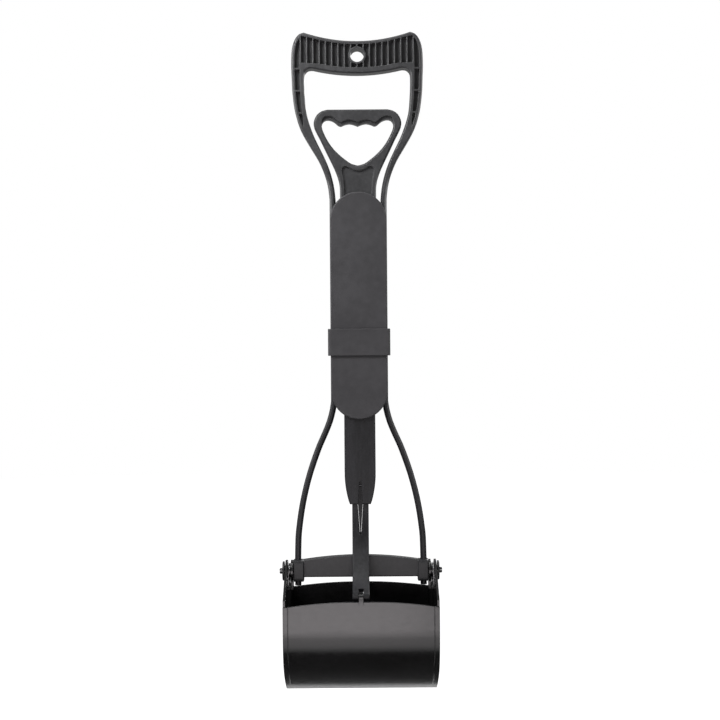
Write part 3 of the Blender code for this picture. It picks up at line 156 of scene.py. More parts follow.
# How bright the surroundings are in a reflection, where 1 is white
REFLECTED_SHARE = 0.3

# Numbers that Blender gives to sockets whose names repeat
MIX_FACTOR = 0
MIX_FIRST_COLOUR = 6
MIX_SECOND_COLOUR = 7
MIX_COLOUR_RESULT = 2
RANDOM_LOW = 2
RANDOM_HIGH = 3
RANDOM_FLOAT_RESULT = 1


# Nodes


class Value:
    """A socket in a node tree: arithmetic on it adds the Math nodes that it needs."""

    def __init__(self, nodes, socket):
        self.nodes = nodes
        self.socket = socket

    def maths(self, operation, *operands):
        return self.nodes.in_order("ShaderNodeMath", {"operation": operation}, *operands)

    def __add__(self, other):
        return self.maths("ADD", self, other)

    def __sub__(self, other):
        return self.maths("SUBTRACT", self, other)

    def __rsub__(self, other):
        return self.maths("SUBTRACT", other, self)

    def __mul__(self, other):
        return self.maths("MULTIPLY", self, other)

    def __truediv__(self, other):
        return self.maths("DIVIDE", self, other)

    def __abs__(self):
        return self.maths("ABSOLUTE", self)

    __radd__ = __add__
    __rmul__ = __mul__

    def most(self, other):
        return self.maths("MAXIMUM", self, other)

    def rising(self, low, high):
        """0 up to low, 1 from high on, and a smooth rise between them."""
        inputs = {"Value": self, "From Min": low, "From Max": high}
        return self.nodes.node("ShaderNodeMapRange", {"interpolation_type": "SMOOTHSTEP"}, inputs)

    def axis(self, name):
        """One axis of a vector."""
        return self.nodes.node("ShaderNodeSeparateXYZ", {}, {"Vector": self}, name)

    def output(self, name):
        """Another output of the same node."""
        return Value(self.nodes, self.socket.node.outputs[name])


class Nodes:
    """A shader or geometry tree, built up one node at a time."""

    def __init__(self, tree):
        self.tree = tree
        tree.nodes.clear()

    def node(self, kind, settings=None, inputs=None, output=0):
        """Adds a node, with its settings first and then the values or links of its sockets."""
        made = self.tree.nodes.new(kind)
        for name, value in (settings or {}).items():
            setattr(made, name, value)
        for name, value in (inputs or {}).items():
            for part in value if isinstance(value, list) else [value]:
                if isinstance(part, Value):
                    self.tree.links.new(part.socket, made.inputs[name])
                else:
                    made.inputs[name].default_value = part
        return Value(self, made.outputs[output]) if made.outputs else None

    def in_order(self, kind, settings, *operands, output=0):
        """A node whose sockets are filled from the first one on."""
        return self.node(kind, settings, dict(enumerate(operands)), output)

    def vector_maths(self, operation, *operands, output=0):
        return self.in_order("ShaderNodeVectorMath", {"operation": operation}, *operands, output=output)

    def object_place(self):
        """Where a point lies on its piece, which is also its place in the frame."""
        return self.node("ShaderNodeTexCoord", {}, {}, "Object")

    def mixed(self, factor, first, second):
        """A blend of two colours."""
        inputs = {MIX_FACTOR: factor, MIX_FIRST_COLOUR: first, MIX_SECOND_COLOUR: second}
        return self.node("ShaderNodeMix", {"data_type": "RGBA"}, inputs, MIX_COLOUR_RESULT)

    def noise(self, where, size, detail=GRAIN_DETAIL):
        """Noise around 0.5 whose features are about size across."""
        return self.node("ShaderNodeTexNoise", {}, {"Vector": where, "Scale": 1 / size, "Detail": detail})

    def mottled_grey(self, where, size, tones):
        """Noise between two greys."""
        dark, light = ((tone, tone, tone, 1) for tone in tones)
        return self.mixed(self.noise(where, size), dark, light)


def new_material(name):
    """An empty material, and the nodes to fill it with."""
    material = bpy.data.materials.new(name)
    material.use_nodes = True
    return material, Nodes(material.node_tree)


# Materials


@dataclass
class Finish:
    """How one plastic or metal looks, apart from its colour.

    The grain is its fine relief and the wave its broad one, each with a size and a height. The mottle is
    how far its tone strays from its colour. A flow below 1 draws the pattern out along that axis.
    """

    roughness: float
    roughness_spread: float
    grain: float
    grain_height: float
    wave: float
    wave_height: float
    mottle: float
    flow: tuple = (1, 1, 1)
    specular: float = 0.5
    metallic: float = 0.0
    edge: str = "edge_radius"


# Each is named as its colour is in the settings
FINISHES = {
    "moulded_plastic": Finish(
        roughness=0.35, roughness_spread=0.10, grain=0.35 * MM, grain_height=0.010 * MM,
        wave=14 * MM, wave_height=0.05 * MM, mottle=0.22, specular=0.22,
    ),
    "rimmed_plastic": Finish(
        roughness=0.31, roughness_spread=0.10, grain=0.35 * MM, grain_height=0.008 * MM,
        wave=14 * MM, wave_height=0.05 * MM, mottle=0.22, specular=0.34, edge="rim_radius",
    ),
    "cover_plastic": Finish(
        roughness=0.46, roughness_spread=0.08, grain=0.55 * MM, grain_height=0.030 * MM,
        wave=30 * MM, wave_height=0.05 * MM, mottle=0.14, specular=0.22, edge="rim_radius",
    ),
    # On the legs and links this darker colour is painted shade: they are the handle's plastic, darkened for
    # the light that falls off lower down
    "streaked_plastic": Finish(
        roughness=0.40, roughness_spread=0.14, grain=0.40 * MM, grain_height=0.014 * MM,
        wave=9 * MM, wave_height=0.05 * MM, mottle=0.50, flow=(1, 1, 0.12), specular=0.20,
    ),
    "jaw_plastic": Finish(
        roughness=0.20, roughness_spread=0.10, grain=0.25 * MM, grain_height=0.002 * MM,
        wave=16 * MM, wave_height=0.035 * MM, mottle=0.30, flow=(0.45, 1, 1),
    ),
    "dark_steel": Finish(
        roughness=0.34, roughness_spread=0.12, grain=0.30 * MM, grain_height=0.004 * MM,
        wave=3 * MM, wave_height=0.01 * MM, mottle=0.30, flow=(0.2, 1, 1), metallic=1.0,
        edge="fine_edge_radius",
    ),
    "zinc_steel": Finish(
        roughness=0.30, roughness_spread=0.12, grain=0.20 * MM, grain_height=0.004 * MM,
        wave=2 * MM, wave_height=0.01 * MM, mottle=0.25, metallic=1.0, edge="fine_edge_radius",
    ),
}


def plain(nodes, at):
    """No mark: neither a height nor painted shade."""
    return 0.0, 0.0


def parted(nodes, at):
    """The fine ridge where a mould's halves met, along a piece's middle plane."""
    away = abs(at.axis("Y"))
    ridge = 1 - away.rising(PARTING_CREST_HALF_WIDTH, PARTING_FOOT_HALF_WIDTH)
    return ridge * PARTING_HEIGHT, 0.0


def gated(nodes, at):
    """The small nub that the mould's gate left on the front of the band."""
    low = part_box("collar_band")[0]
    gate = (GATE_X, low.y, low.z + GATE_RISE)
    away = nodes.vector_maths("SUBTRACT", at, gate)
    distance = nodes.vector_maths("LENGTH", away, output="Value")
    nub = 1 - distance.rising(GATE_RADIUS / 2, GATE_RADIUS)
    return nub * GATE_HEIGHT, 0.0


def grooved(nodes, at):
    """The two fine grooves that set a jaw's end walls off from its skin, blackened with painted shade."""
    groove_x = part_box("front_jaw")[1].x - GROOVE_INSET
    away = abs(abs(at.axis("X")) - groove_x)
    groove_and_shade = 1 - away.rising(GROOVE_FLOOR_HALF_WIDTH, GROOVE_BRIM_HALF_WIDTH)
    return groove_and_shade * -GROOVE_DEPTH, groove_and_shade


def finished_material(kind, marks=plain):
    """The material of a kind of plastic or metal, made once for each kind of mark."""
    name = f"{kind}_{marks.__name__}"
    return bpy.data.materials.get(name) or make_material(name, kind, marks)


def make_material(name, kind, marks):
    """A finish whose tone, polish and relief vary over the piece, with rounded edges that are worn and made
    paler by a painted highlight.
    """
    settings = bpy.context.scene.scooper_finishes
    finish = FINISHES[kind]
    colour = getattr(settings, kind)
    edge_radius = getattr(settings, finish.edge)
    material, nodes = new_material(name)
    at = nodes.object_place()
    along = nodes.node("ShaderNodeMapping", {}, {"Vector": at, "Scale": finish.flow})
    cloud = nodes.noise(along, finish.wave * CLOUD_SIZE, CLOUD_DETAIL)
    streak = nodes.noise(along, finish.wave * STREAK_SIZE, STREAK_DETAIL)
    wave = nodes.noise(along, finish.wave)
    grain = nodes.noise(at, finish.grain)

    rounded = nodes.node("ShaderNodeBevel", {"samples": EDGE_SAMPLES}, {"Radius": edge_radius})
    flat = nodes.node("ShaderNodeNewGeometry", {}, {}, "Normal")
    turned = 1 - nodes.vector_maths("DOT_PRODUCT", rounded, flat, output="Value")
    wear_and_highlight = turned.rising(*EDGE_WEAR_AND_HIGHLIGHT_RANGE)

    mark_height, mark_painted_shade = marks(nodes, at)
    dark = tuple(part * (1 - finish.mottle) for part in colour) + (1,)
    light = tuple(part * (1 + finish.mottle) for part in colour) + (1,)
    # Paler edge colour: partly wear, partly a painted highlight on the rims
    worn_and_highlit = tuple(part * EDGE_WEAR_AND_HIGHLIGHT_GAIN + EDGE_WEAR_AND_HIGHLIGHT_LIFT for part in colour) + (1,)
    pattern = cloud * CLOUD_SHARE + streak * (1 - CLOUD_SHARE)
    tone = nodes.mixed(pattern.rising(*TONE_RANGE), dark, light)
    base = nodes.mixed(wear_and_highlight * EDGE_WEAR_AND_HIGHLIGHT_SHARE, tone, worn_and_highlit)
    # Painted shade: the jaws' grooves are blackened here
    base = nodes.mixed(mark_painted_shade, base, (0, 0, 0, 1))
    roughness = finish.roughness + (streak - 0.5) * finish.roughness_spread + wear_and_highlight * WORN_ROUGHNESS
    height = wave * finish.wave_height + grain * finish.grain_height + mark_height
    relief = nodes.node("ShaderNodeBump", {}, {"Height": height, "Distance": 1.0, "Normal": rounded})
    shader = nodes.node("ShaderNodeBsdfPrincipled", {}, {
        "Base Color": base, "Roughness": roughness, "Metallic": finish.metallic,
        "Specular IOR Level": finish.specular, "Normal": relief,
    })
    nodes.node("ShaderNodeOutputMaterial", {}, {"Surface": shader})
    return material


# Pieces


def link_in(obj):
    bpy.context.scene.collection.objects.link(obj)
    return obj


def mark_edges(build):
    """Smooth shading, except across sharp and open edges."""
    for edge in build.edges:
        edge.smooth = len(edge.link_faces) == 2 and edge.calc_face_angle() < SHARP_ANGLE
    for face in build.faces:
        face.smooth = True


def merged_copy(node, name):
    """A joined-up copy of a CAD node's loose triangles, with its sharp edges marked."""
    build = bmesh.new()
    build.from_mesh(frame["nodes"][node].data)
    bmesh.ops.remove_doubles(build, verts=build.verts, dist=MERGE_DISTANCE)
    bmesh.ops.dissolve_limit(build, angle_limit=FLAT_ANGLE, verts=build.verts, edges=build.edges)
    mark_edges(build)
    mesh = bpy.data.meshes.new(name)
    build.to_mesh(mesh)
    build.free()
    return link_in(bpy.data.objects.new(name, mesh))


def closed_up(obj):
    """Merges the points of a grown piece, points its faces outwards and marks its sharp edges."""
    build = bmesh.new()
    build.from_mesh(obj.data)
    bmesh.ops.remove_doubles(build, verts=build.verts, dist=MERGE_DISTANCE)
    bmesh.ops.recalc_face_normals(build, faces=build.faces)
    mark_edges(build)
    build.to_mesh(obj.data)
    build.free()
    return obj


def applied(obj):
    """Turns an object's modifiers into its mesh."""
    depsgraph = bpy.context.evaluated_depsgraph_get()
    mesh = bpy.data.meshes.new_from_object(obj.evaluated_get(depsgraph), depsgraph=depsgraph)
    obj.modifiers.clear()
    obj.data = mesh
    return obj


def evenly_shaded(obj):
    """Weights a piece's shading by the size of its faces, and keeps its sharp edges."""
    even = obj.modifiers.new("even", "WEIGHTED_NORMAL")
    even.keep_sharp = True
    return applied(obj)


def settle(obj, material, nodes):
    """Gives a piece its material and makes it stand for its CAD nodes."""
    obj.data.materials.clear()
    obj.data.materials.append(material)
    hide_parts(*nodes)


def dress(node, material):
    """Makes the finished piece that stands for one CAD node."""
    obj = evenly_shaded(merged_copy(node, node + "_finished"))
    settle(obj, material, [node])
    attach(obj, BODY_OF[node])


# Geometry trees


def geometry_tree(name, inputs):
    """A new geometry tree with named inputs: its nodes, and the inputs as values by name."""
    tree = bpy.data.node_groups.new(name, "GeometryNodeTree")
    tree.interface.new_socket("Geometry", in_out="OUTPUT", socket_type="NodeSocketGeometry")
    tree.interface.new_socket("Geometry", in_out="INPUT", socket_type="NodeSocketGeometry")
    for label, kind in inputs.items():
        tree.interface.new_socket(label, in_out="INPUT", socket_type=kind)
    nodes = Nodes(tree)
    given = nodes.node("NodeGroupInput")
    return nodes, {label: given.output(label) for label in ["Geometry", *inputs]}


def close_tree(nodes, geometry, material):
    """Ends a tree: instances made real, and the material set."""
    real = nodes.node("GeometryNodeRealizeInstances", {}, {"Geometry": geometry})
    painted = nodes.node("GeometryNodeSetMaterial", {}, {"Geometry": real, "Material": material})
    nodes.node("NodeGroupOutput", {}, {"Geometry": painted})


def grow(name, mesh, tree, values):
    """Runs a tree on a mesh, and keeps what it makes as a plain mesh object."""
    obj = link_in(bpy.data.objects.new(name, mesh))
    modifier = obj.modifiers.new("grow", "NODES")
    modifier.node_group = tree
    for socket in tree.interface.items_tree:
        if socket.in_out == "INPUT" and socket.name in values:
            modifier[socket.identifier] = values[socket.name]
    return applied(obj)


def point_mesh(name, points, chained=False):
    """Loose points, or the points of one chain of edges."""
    mesh = bpy.data.meshes.new(name)
    edges = list(zip(range(len(points)), range(1, len(points)))) if chained else []
    mesh.from_pydata(points, edges, [])
    return mesh


def moved(nodes, geometry, offset):
    return nodes.node("GeometryNodeTransform", {}, {"Geometry": geometry, "Translation": offset})


def joined(nodes, *parts):
    return nodes.node("GeometryNodeJoinGeometry", {}, {"Geometry": list(parts)})


def combined_vector(nodes, x=0.0, y=0.0, z=0.0):
    return nodes.node("ShaderNodeCombineXYZ", {}, {"X": x, "Y": y, "Z": z})


def filleted(nodes, curve, radius, steps):
    """A curve with rounded corners."""
    inputs = {"Curve": curve, "Radius": radius, "Count": steps, "Limit Radius": True}
    return nodes.node("GeometryNodeFilletCurve", {"mode": "POLY"}, inputs)


def screw_tree():
    """Domed heads with a cross recess and a shank, one at each point, each turned its own way."""
    nodes, given = geometry_tree("screws", {
        "Head Radius": "NodeSocketFloat", "Head Height": "NodeSocketFloat", "Dome": "NodeSocketFloat",
        "Recess Width": "NodeSocketFloat", "Recess Depth": "NodeSocketFloat",
        "Shank Radius": "NodeSocketFloat", "Shank Length": "NodeSocketFloat",
        "Sides": "NodeSocketInt", "Material": "NodeSocketMaterial",
    })
    radius = given["Head Radius"]
    height = given["Head Height"]
    cylinder = nodes.node("GeometryNodeMeshCylinder", {}, {
        "Vertices": given["Sides"], "Fill Segments": HEAD_RINGS, "Radius": radius, "Depth": height,
    })
    lowered = moved(nodes, cylinder, combined_vector(nodes, z=height * -0.5))
    place = nodes.node("GeometryNodeInputPosition")
    x, y, z = (place.axis(axis) for axis in "XYZ")
    share = (x * x + y * y) / (radius * radius)
    is_top = nodes.node("FunctionNodeCompare", {"operation": "GREATER_THAN"}, {"A": z, "B": height * -0.5})
    drop = combined_vector(nodes, z=share * given["Dome"] * -1)
    head = nodes.node("GeometryNodeSetPosition", {}, {
        "Geometry": lowered, "Selection": is_top, "Offset": drop,
    })
    arm = radius * RECESS_SPAN
    width = given["Recess Width"]
    depth = given["Recess Depth"] * 2
    cross = [
        nodes.node("GeometryNodeMeshCube", {}, {"Size": combined_vector(nodes, *size)})
        for size in ((arm, width, depth), (width, arm, depth))
    ]
    recessed = nodes.node("GeometryNodeMeshBoolean", {"operation": "DIFFERENCE", "solver": "EXACT"}, {
        "Mesh 1": head, "Mesh 2": cross,
    })
    shank_length = given["Shank Length"]
    shank = nodes.node("GeometryNodeMeshCylinder", {}, {
        "Vertices": given["Sides"], "Radius": given["Shank Radius"], "Depth": shank_length,
    })
    sinking = (height + shank_length * 0.5) * -1 + SHANK_OVERLAP
    sunk = moved(nodes, shank, combined_vector(nodes, z=sinking))
    turn = nodes.node("FunctionNodeRandomValue", {}, {
        RANDOM_LOW: 0.0, RANDOM_HIGH: math.pi, "Seed": SCREW_SEED,
    }, RANDOM_FLOAT_RESULT)
    standing = nodes.node("GeometryNodeInstanceOnPoints", {}, {
        "Points": given["Geometry"], "Instance": joined(nodes, recessed, sunk),
        "Rotation": (-math.pi / 2, 0, 0),
    })
    spun = nodes.node("GeometryNodeRotateInstances", {}, {
        "Instances": standing, "Rotation": combined_vector(nodes, z=turn),
    })
    close_tree(nodes, spun, given["Material"])
    return nodes.tree


def wire_tree():
    """A round wire along a mesh's chain of edges, closed at both ends."""
    nodes, given = geometry_tree("wire", {
        "Wire Radius": "NodeSocketFloat", "Sides": "NodeSocketInt", "Material": "NodeSocketMaterial",
    })
    path = nodes.node("GeometryNodeMeshToCurve", {}, {"Mesh": given["Geometry"]})
    ring = nodes.node("GeometryNodeCurvePrimitiveCircle", {}, {
        "Resolution": given["Sides"], "Radius": given["Wire Radius"],
    })
    tube = nodes.node("GeometryNodeCurveToMesh", {}, {
        "Curve": path, "Profile Curve": ring, "Fill Caps": True,
    })
    smooth = nodes.node("GeometryNodeSetShadeSmooth", {}, {"Geometry": tube})
    close_tree(nodes, smooth, given["Material"])
    return nodes.tree


def band_tree():
    """A flat band round a rectangle, with rounded corners and rims."""
    nodes, given = geometry_tree("band", {
        "Width": "NodeSocketFloat", "Depth": "NodeSocketFloat", "Height": "NodeSocketFloat",
        "Wall": "NodeSocketFloat", "Corner": "NodeSocketFloat", "Rim": "NodeSocketFloat",
        "Steps": "NodeSocketInt", "Material": "NodeSocketMaterial",
    })
    wall = given["Wall"]
    way = nodes.node("GeometryNodeCurvePrimitiveQuadrilateral", {}, {
        "Width": given["Width"] - wall, "Height": given["Depth"] - wall,
    })
    way = filleted(nodes, way, given["Corner"], given["Steps"])
    strip = nodes.node("GeometryNodeCurvePrimitiveQuadrilateral", {}, {
        "Width": wall, "Height": given["Height"],
    })
    strip = filleted(nodes, strip, given["Rim"], given["Steps"])
    tube = nodes.node("GeometryNodeCurveToMesh", {}, {"Curve": way, "Profile Curve": strip})
    close_tree(nodes, tube, given["Material"])
    return nodes.tree


# Settings


def length(name, description, default):
    return FloatProperty(name=name, description=description, default=default, min=0, unit="LENGTH")


def position(name, description, default):
    return FloatProperty(name=name, description=description, default=default, unit="LENGTH")


def number(name, description, default, lowest=0.0):
    return FloatProperty(name=name, description=description, default=default, min=lowest)


def count(name, description, default):
    return IntProperty(name=name, description=description, default=default, min=12)


def tint(name, description, *colour):
    return FloatVectorProperty(
        name=name, description=description, default=colour, min=0, max=1, subtype="COLOR", size=3,
    )


class ScooperFinishes(bpy.types.PropertyGroup):
    """Colours and edges of the plastics and metals."""

    moulded_plastic: tint("Moulded plastic", "Colour of the yoke and hinge discs", 0.0215, 0.0215, 0.023)
    rimmed_plastic: tint("Rimmed plastic", "Colour of the handle and grip", 0.0330, 0.0330, 0.0345)
    cover_plastic: tint("Cover plastic", "Colour of the two covers and the band", 0.0375, 0.0365, 0.0390)
    # Painted shade on the legs and links, which are darkened like the lower parts
    streaked_plastic: tint("Streaked plastic", "Colour of the bar, links and legs", 0.011, 0.011, 0.0125)
    jaw_plastic: tint("Jaw plastic", "Colour of both jaws", 0.0045, 0.0044, 0.0047)
    dark_steel: tint("Dark steel", "Colour of the hinge and link pins", 0.060, 0.060, 0.063)
    zinc_steel: tint("Zinc", "Colour of the screws and springs", 0.42, 0.42, 0.43)
    edge_radius: length("Edge radius", "How far each edge is rounded", 0.6 * MM)
    rim_radius: length("Rim radius", "Rounding of the handle, grip and covers", 0.9 * MM)
    fine_edge_radius: length("Fine edge radius", "Rounding of small metal parts", 0.15 * MM)


class ScooperScrews(bpy.types.PropertyGroup):
    """Sizes of the cross-recess screws."""

    dome: length("Dome", "How far a head's middle stands above its rim", 0.35 * MM)
    recess_width: length("Recess width", "Width of the cross recess", 0.75 * MM)
    recess_depth: length("Recess depth", "Depth of the cross recess", 0.9 * MM)
    head_height: length("Head height", "Height of a head from its seat to its top", 1.5 * MM)
    shank_radius: length("Shank radius", "Radius of a screw's shank", 1.35 * MM)
    sides: count("Sides", "Sides of each round part", 40)


class ScooperSprings(bpy.types.PropertyGroup):
    """Sizes of the torsion springs round the hinge pins."""

    coil_radius: length("Coil radius", "Radius of the coil at the wire's middle", 8.2 * MM)
    wire_radius: length("Wire radius", "Radius of the wire", 0.4 * MM)
    pitch: length("Pitch", "Distance from one turn to the next", 1.3 * MM)
    leg: length("Leg", "How far each leg reaches below the hinge", 15.0 * MM)
    bend: length("Bend", "Radius of the bend into a jaw's end wall", 0.9 * MM)
    turns: number("Turns", "Number of turns in the coil", 1.5, lowest=0.5)
    steps: count("Steps", "Points in each turn", 48)


class ScooperBand(bpy.types.PropertyGroup):
    """Sizes of the band round the case."""

    wall: length("Wall", "Thickness of the band", 2.3 * MM)
    corner: length("Corner", "Radius of the band's corners", 2.0 * MM)
    rim: length("Rim", "Radius along the band's upper and lower rims", 0.5 * MM)


class ScooperStudio(bpy.types.PropertyGroup):
    """The camera, the lamps and the floor."""

    distance: length("Camera distance", "How far the camera stands in front of the scooper", 1.4)
    height: position("Camera height", "Height of the camera", -0.3286)
    side: position("Camera side", "Sideways place of the camera", 0.76 * MM)
    roll: FloatProperty(
        name="Roll", description="Turn of the camera", default=math.radians(0.44), subtype="ANGLE",
    )
    focal_length: number("Focal length", "Focal length in millimetres", 64.6)
    floor_drop: length("Floor drop", "How far the floor lies below the hanging hole", 1.25)
    key_light: number("Key light", "Light of the key lamp on the case", 4.7)
    back_light: number("Back light", "Light of the lamp behind the case", 3.4)
    wing_light: number("Wing light", "Light of the lamps at both sides", 1.2)
    strip_glow: number("Strip glow", "Brightness of the two strip lamps", 16.0)
    low_glow: number("Low glow", "Brightness of the low lamp in front", 1.2)
    sheen_glow: number("Sheen glow", "Brightness of the lamp over the low one", 3.25)
    top_glow: number("Top glow", "Brightness of the top strip lamp", 6.0)
    sky: number("Sky", "Brightness of the surroundings as a light", 0.10)


# Operators that make the pieces


class SCOOPER_OT_handle(bpy.types.Operator):
    """Finish the ribbed outer handle and the two legs that run down from it"""

    bl_idname = "scooper.handle"
    bl_label = "Handle and Legs"
    bl_options = {"REGISTER", "UNDO"}

    def execute(self, context):
        dress("handle_frame", finished_material("rimmed_plastic", parted))
        for node in ("left_leg", "right_leg"):
            # The legs take the darker streaked colour as painted shade
            dress(node, finished_material("streaked_plastic", parted))
        return {"FINISHED"}


class SCOOPER_OT_trigger(bpy.types.Operator):
    """Finish the trigger grip and the pull bar under it"""

    bl_idname = "scooper.trigger"
    bl_label = "Trigger Grip and Pull Bar"
    bl_options = {"REGISTER", "UNDO"}

    def execute(self, context):
        dress("trigger_grip", finished_material("rimmed_plastic", parted))
        dress("pull_bar", finished_material("streaked_plastic"))
        return {"FINISHED"}


class SCOOPER_OT_case(bpy.types.Operator):
    """Finish the front and rear covers"""

    bl_idname = "scooper.case"
    bl_label = "Covers"
    bl_options = {"REGISTER", "UNDO"}

    def execute(self, context):
        for node in ("front_cover", "rear_cover"):
            dress(node, finished_material("cover_plastic"))
        return {"FINISHED"}


class SCOOPER_OT_band(bpy.types.Operator):
    """Make the band that clamps the covers"""

    bl_idname = "scooper.band"
    bl_label = "Collar Band"
    bl_options = {"REGISTER", "UNDO"}

    def execute(self, context):
        sizes = context.scene.scooper_band
        low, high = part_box("collar_band")
        material = finished_material("cover_plastic", gated)
        obj = grow("collar_band_finished", point_mesh("band_start", [(0, 0, 0)]), band_tree(), {
            "Width": high.x - low.x, "Depth": high.y - low.y, "Height": high.z - low.z,
            "Wall": sizes.wall, "Corner": sizes.corner, "Rim": sizes.rim,
            "Steps": BAND_CORNER_STEPS, "Material": material,
        })
        obj.data.transform(Matrix.Translation((low + high) / 2))
        evenly_shaded(closed_up(obj))
        settle(obj, material, ["collar_band"])
        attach(obj, BODY_OF["collar_band"])
        return {"FINISHED"}


class SCOOPER_OT_linkage(bpy.types.Operator):
    """Finish the two bowed links and the four pins that join them to the bar and jaws"""

    bl_idname = "scooper.linkage"
    bl_label = "Links and Pins"
    bl_options = {"REGISTER", "UNDO"}

    def execute(self, context):
        for side in ("front", "rear"):
            # The links take the darker streaked colour as painted shade
            dress(side + "_link", finished_material("streaked_plastic"))
            for pin in ("_link_pin", "_jaw_pin"):
                dress(side + pin, finished_material("dark_steel"))
        return {"FINISHED"}


class SCOOPER_OT_hinge(bpy.types.Operator):
    """Finish the yoke across the hinge, its two pins and the discs that hold the jaws on"""

    bl_idname = "scooper.hinge"
    bl_label = "Hinge"
    bl_options = {"REGISTER", "UNDO"}

    def execute(self, context):
        dress("hinge_yoke", finished_material("moulded_plastic"))
        for side in ("left", "right"):
            dress(side + "_hinge_pin", finished_material("dark_steel"))
            dress(side + "_hinge_disc", finished_material("moulded_plastic"))
        return {"FINISHED"}


class SCOOPER_OT_jaws(bpy.types.Operator):
    """Finish the two polished jaws"""

    bl_idname = "scooper.jaws"
    bl_label = "Jaws"
    bl_options = {"REGISTER", "UNDO"}

    def execute(self, context):
        for node in ("front_jaw", "rear_jaw"):
            dress(node, finished_material("jaw_plastic", grooved))
        return {"FINISHED"}


class SCOOPER_OT_screws(bpy.types.Operator):
    """Make the cover screws and the neck screws"""

    bl_idname = "scooper.screws"
    bl_label = "Screws"
    bl_options = {"REGISTER", "UNDO"}

    def execute(self, context):
        sizes = context.scene.scooper_screws
        material = finished_material("zinc_steel")
        tree = screw_tree()
        for name, nodes in (("cover_screws_finished", COVER_SCREWS), ("neck_screws_finished", NECK_SCREWS)):
            boxes = [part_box(node) for node in nodes]
            points = [((low.x + high.x) / 2, high.y, (low.z + high.z) / 2) for low, high in boxes]
            low, high = boxes[0]
            obj = grow(name, point_mesh(name, points), tree, {
                "Head Radius": (high.x - low.x) / 2, "Head Height": sizes.head_height, "Dome": sizes.dome,
                "Recess Width": sizes.recess_width, "Recess Depth": sizes.recess_depth,
                "Shank Radius": sizes.shank_radius, "Shank Length": high.y - low.y - sizes.head_height,
                "Sides": sizes.sides, "Material": material,
            })
            evenly_shaded(closed_up(obj))
            settle(obj, material, nodes)
            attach(obj, BODY_OF[nodes[0]])
        return {"FINISHED"}


def spring_leg(sizes, x, hook_x, side):
    """A leg from its hook in a jaw's end wall up to where the coil starts."""
    y = side * sizes.coil_radius
    low = HINGE_Z - sizes.leg
    bend = math.copysign(sizes.bend, hook_x - x)
    points = [Vector((hook_x, y, low))]
    for step in range(BEND_STEPS + 1):
        turn = math.pi / 2 * step / BEND_STEPS
        points.append(Vector((x + bend * (1 - math.sin(turn)), y, low + sizes.bend * (1 - math.cos(turn)))))
    return points


def spring_halves(sizes, middle, reach):
    """A spring's centreline, parted at its top: the half on the front jaw and the one on the rear jaw."""
    half_coil = math.copysign(sizes.turns * sizes.pitch / 2, reach)
    steps = round(sizes.turns * sizes.steps)
    coil = []
    for step in range(steps + 1):
        turn = math.pi - math.tau * step / sizes.steps
        x = middle + half_coil * (1 - 2 * step / steps)
        y = sizes.coil_radius * math.cos(turn)
        coil.append(Vector((x, y, HINGE_Z + sizes.coil_radius * math.sin(turn))))
    front = spring_leg(sizes, middle + half_coil, middle + reach, -1)
    rear = spring_leg(sizes, middle - half_coil, middle - reach, 1)
    top = round(sizes.steps / 4)
    return {"front": [*front, *coil[:top + 1]], "rear": [*coil[top:], *reversed(rear)]}


class SCOOPER_OT_springs(bpy.types.Operator):
    """Make the torsion springs, each as a front half and a rear half"""

    bl_idname = "scooper.springs"
    bl_label = "Torsion Springs"
    bl_options = {"REGISTER", "UNDO"}

    def execute(self, context):
        sizes = context.scene.scooper_springs
        material = finished_material("zinc_steel")
        tree = wire_tree()
        for node in ("left_torsion_spring", "right_torsion_spring"):
            low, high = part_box(node)
            middle = (low.x + high.x) / 2
            reach = math.copysign((high.x - low.x) / 2, middle)
            for half, path in spring_halves(sizes, middle, reach).items():
                obj = grow(f"{node}_{half}_half", point_mesh(node, path, chained=True), tree, {
                    "Wire Radius": sizes.wire_radius, "Sides": WIRE_SIDES, "Material": material,
                })
                settle(obj, material, [node])
                half + "_jaw"
                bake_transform(obj)
        return {"FINISHED"}


# The studio


@dataclass
class Lamp:
    """A soft rectangular lamp, and the setting that its strength comes from."""

    name: str
    place: tuple
    aim: tuple
    size: tuple
    setting: str
    colour: tuple = WHITE_LIGHT

    def power(self, strength):
        """A light setting is what the aimed spot gets, and a glow is how bright the lamp itself is."""
        if self.setting.endswith("_light"):
            return strength * math.pi * (Vector(self.aim) - Vector(self.place)).length_squared
        return strength * math.pi * self.size[0] * self.size[1]


def lamp_pair(name, place, *rest):
    """Two like lamps, one on each side."""
    x, y, z = place
    return Lamp("left_" + name, (-x, y, z), *rest), Lamp("right_" + name, place, *rest)


LAMPS = (
    Lamp("key_lamp", (-0.42, -0.50, 0.30), CASE_MIDDLE, (0.36, 0.36), "key_light"),
    *lamp_pair("strip_lamp", (1.0, -0.62, 0.05), CASE_TOP, (0.05, 0.9), "strip_glow"),
    Lamp("back_lamp", (0.7, 1.3, 0.55), CASE_MIDDLE, (0.7, 0.7), "back_light"),
    *lamp_pair("wing_lamp", (1.3, -0.05, 0.1), CASE_MIDDLE, (0.4, 0.9), "wing_light"),
    Lamp("top_lamp", (0, -0.12, 0.90), CASE_TOP, (1.0, 0.25), "top_glow"),
    Lamp("low_lamp", (-0.03, -0.90, -0.915), JAW_FRONT, (0.44, 0.36), "low_glow", ROSY_LIGHT),
    Lamp("sheen_lamp", (-0.05, -0.93, -0.66), JAW_FRONT, (0.40, 0.38), "sheen_glow", ROSY_LIGHT),
)


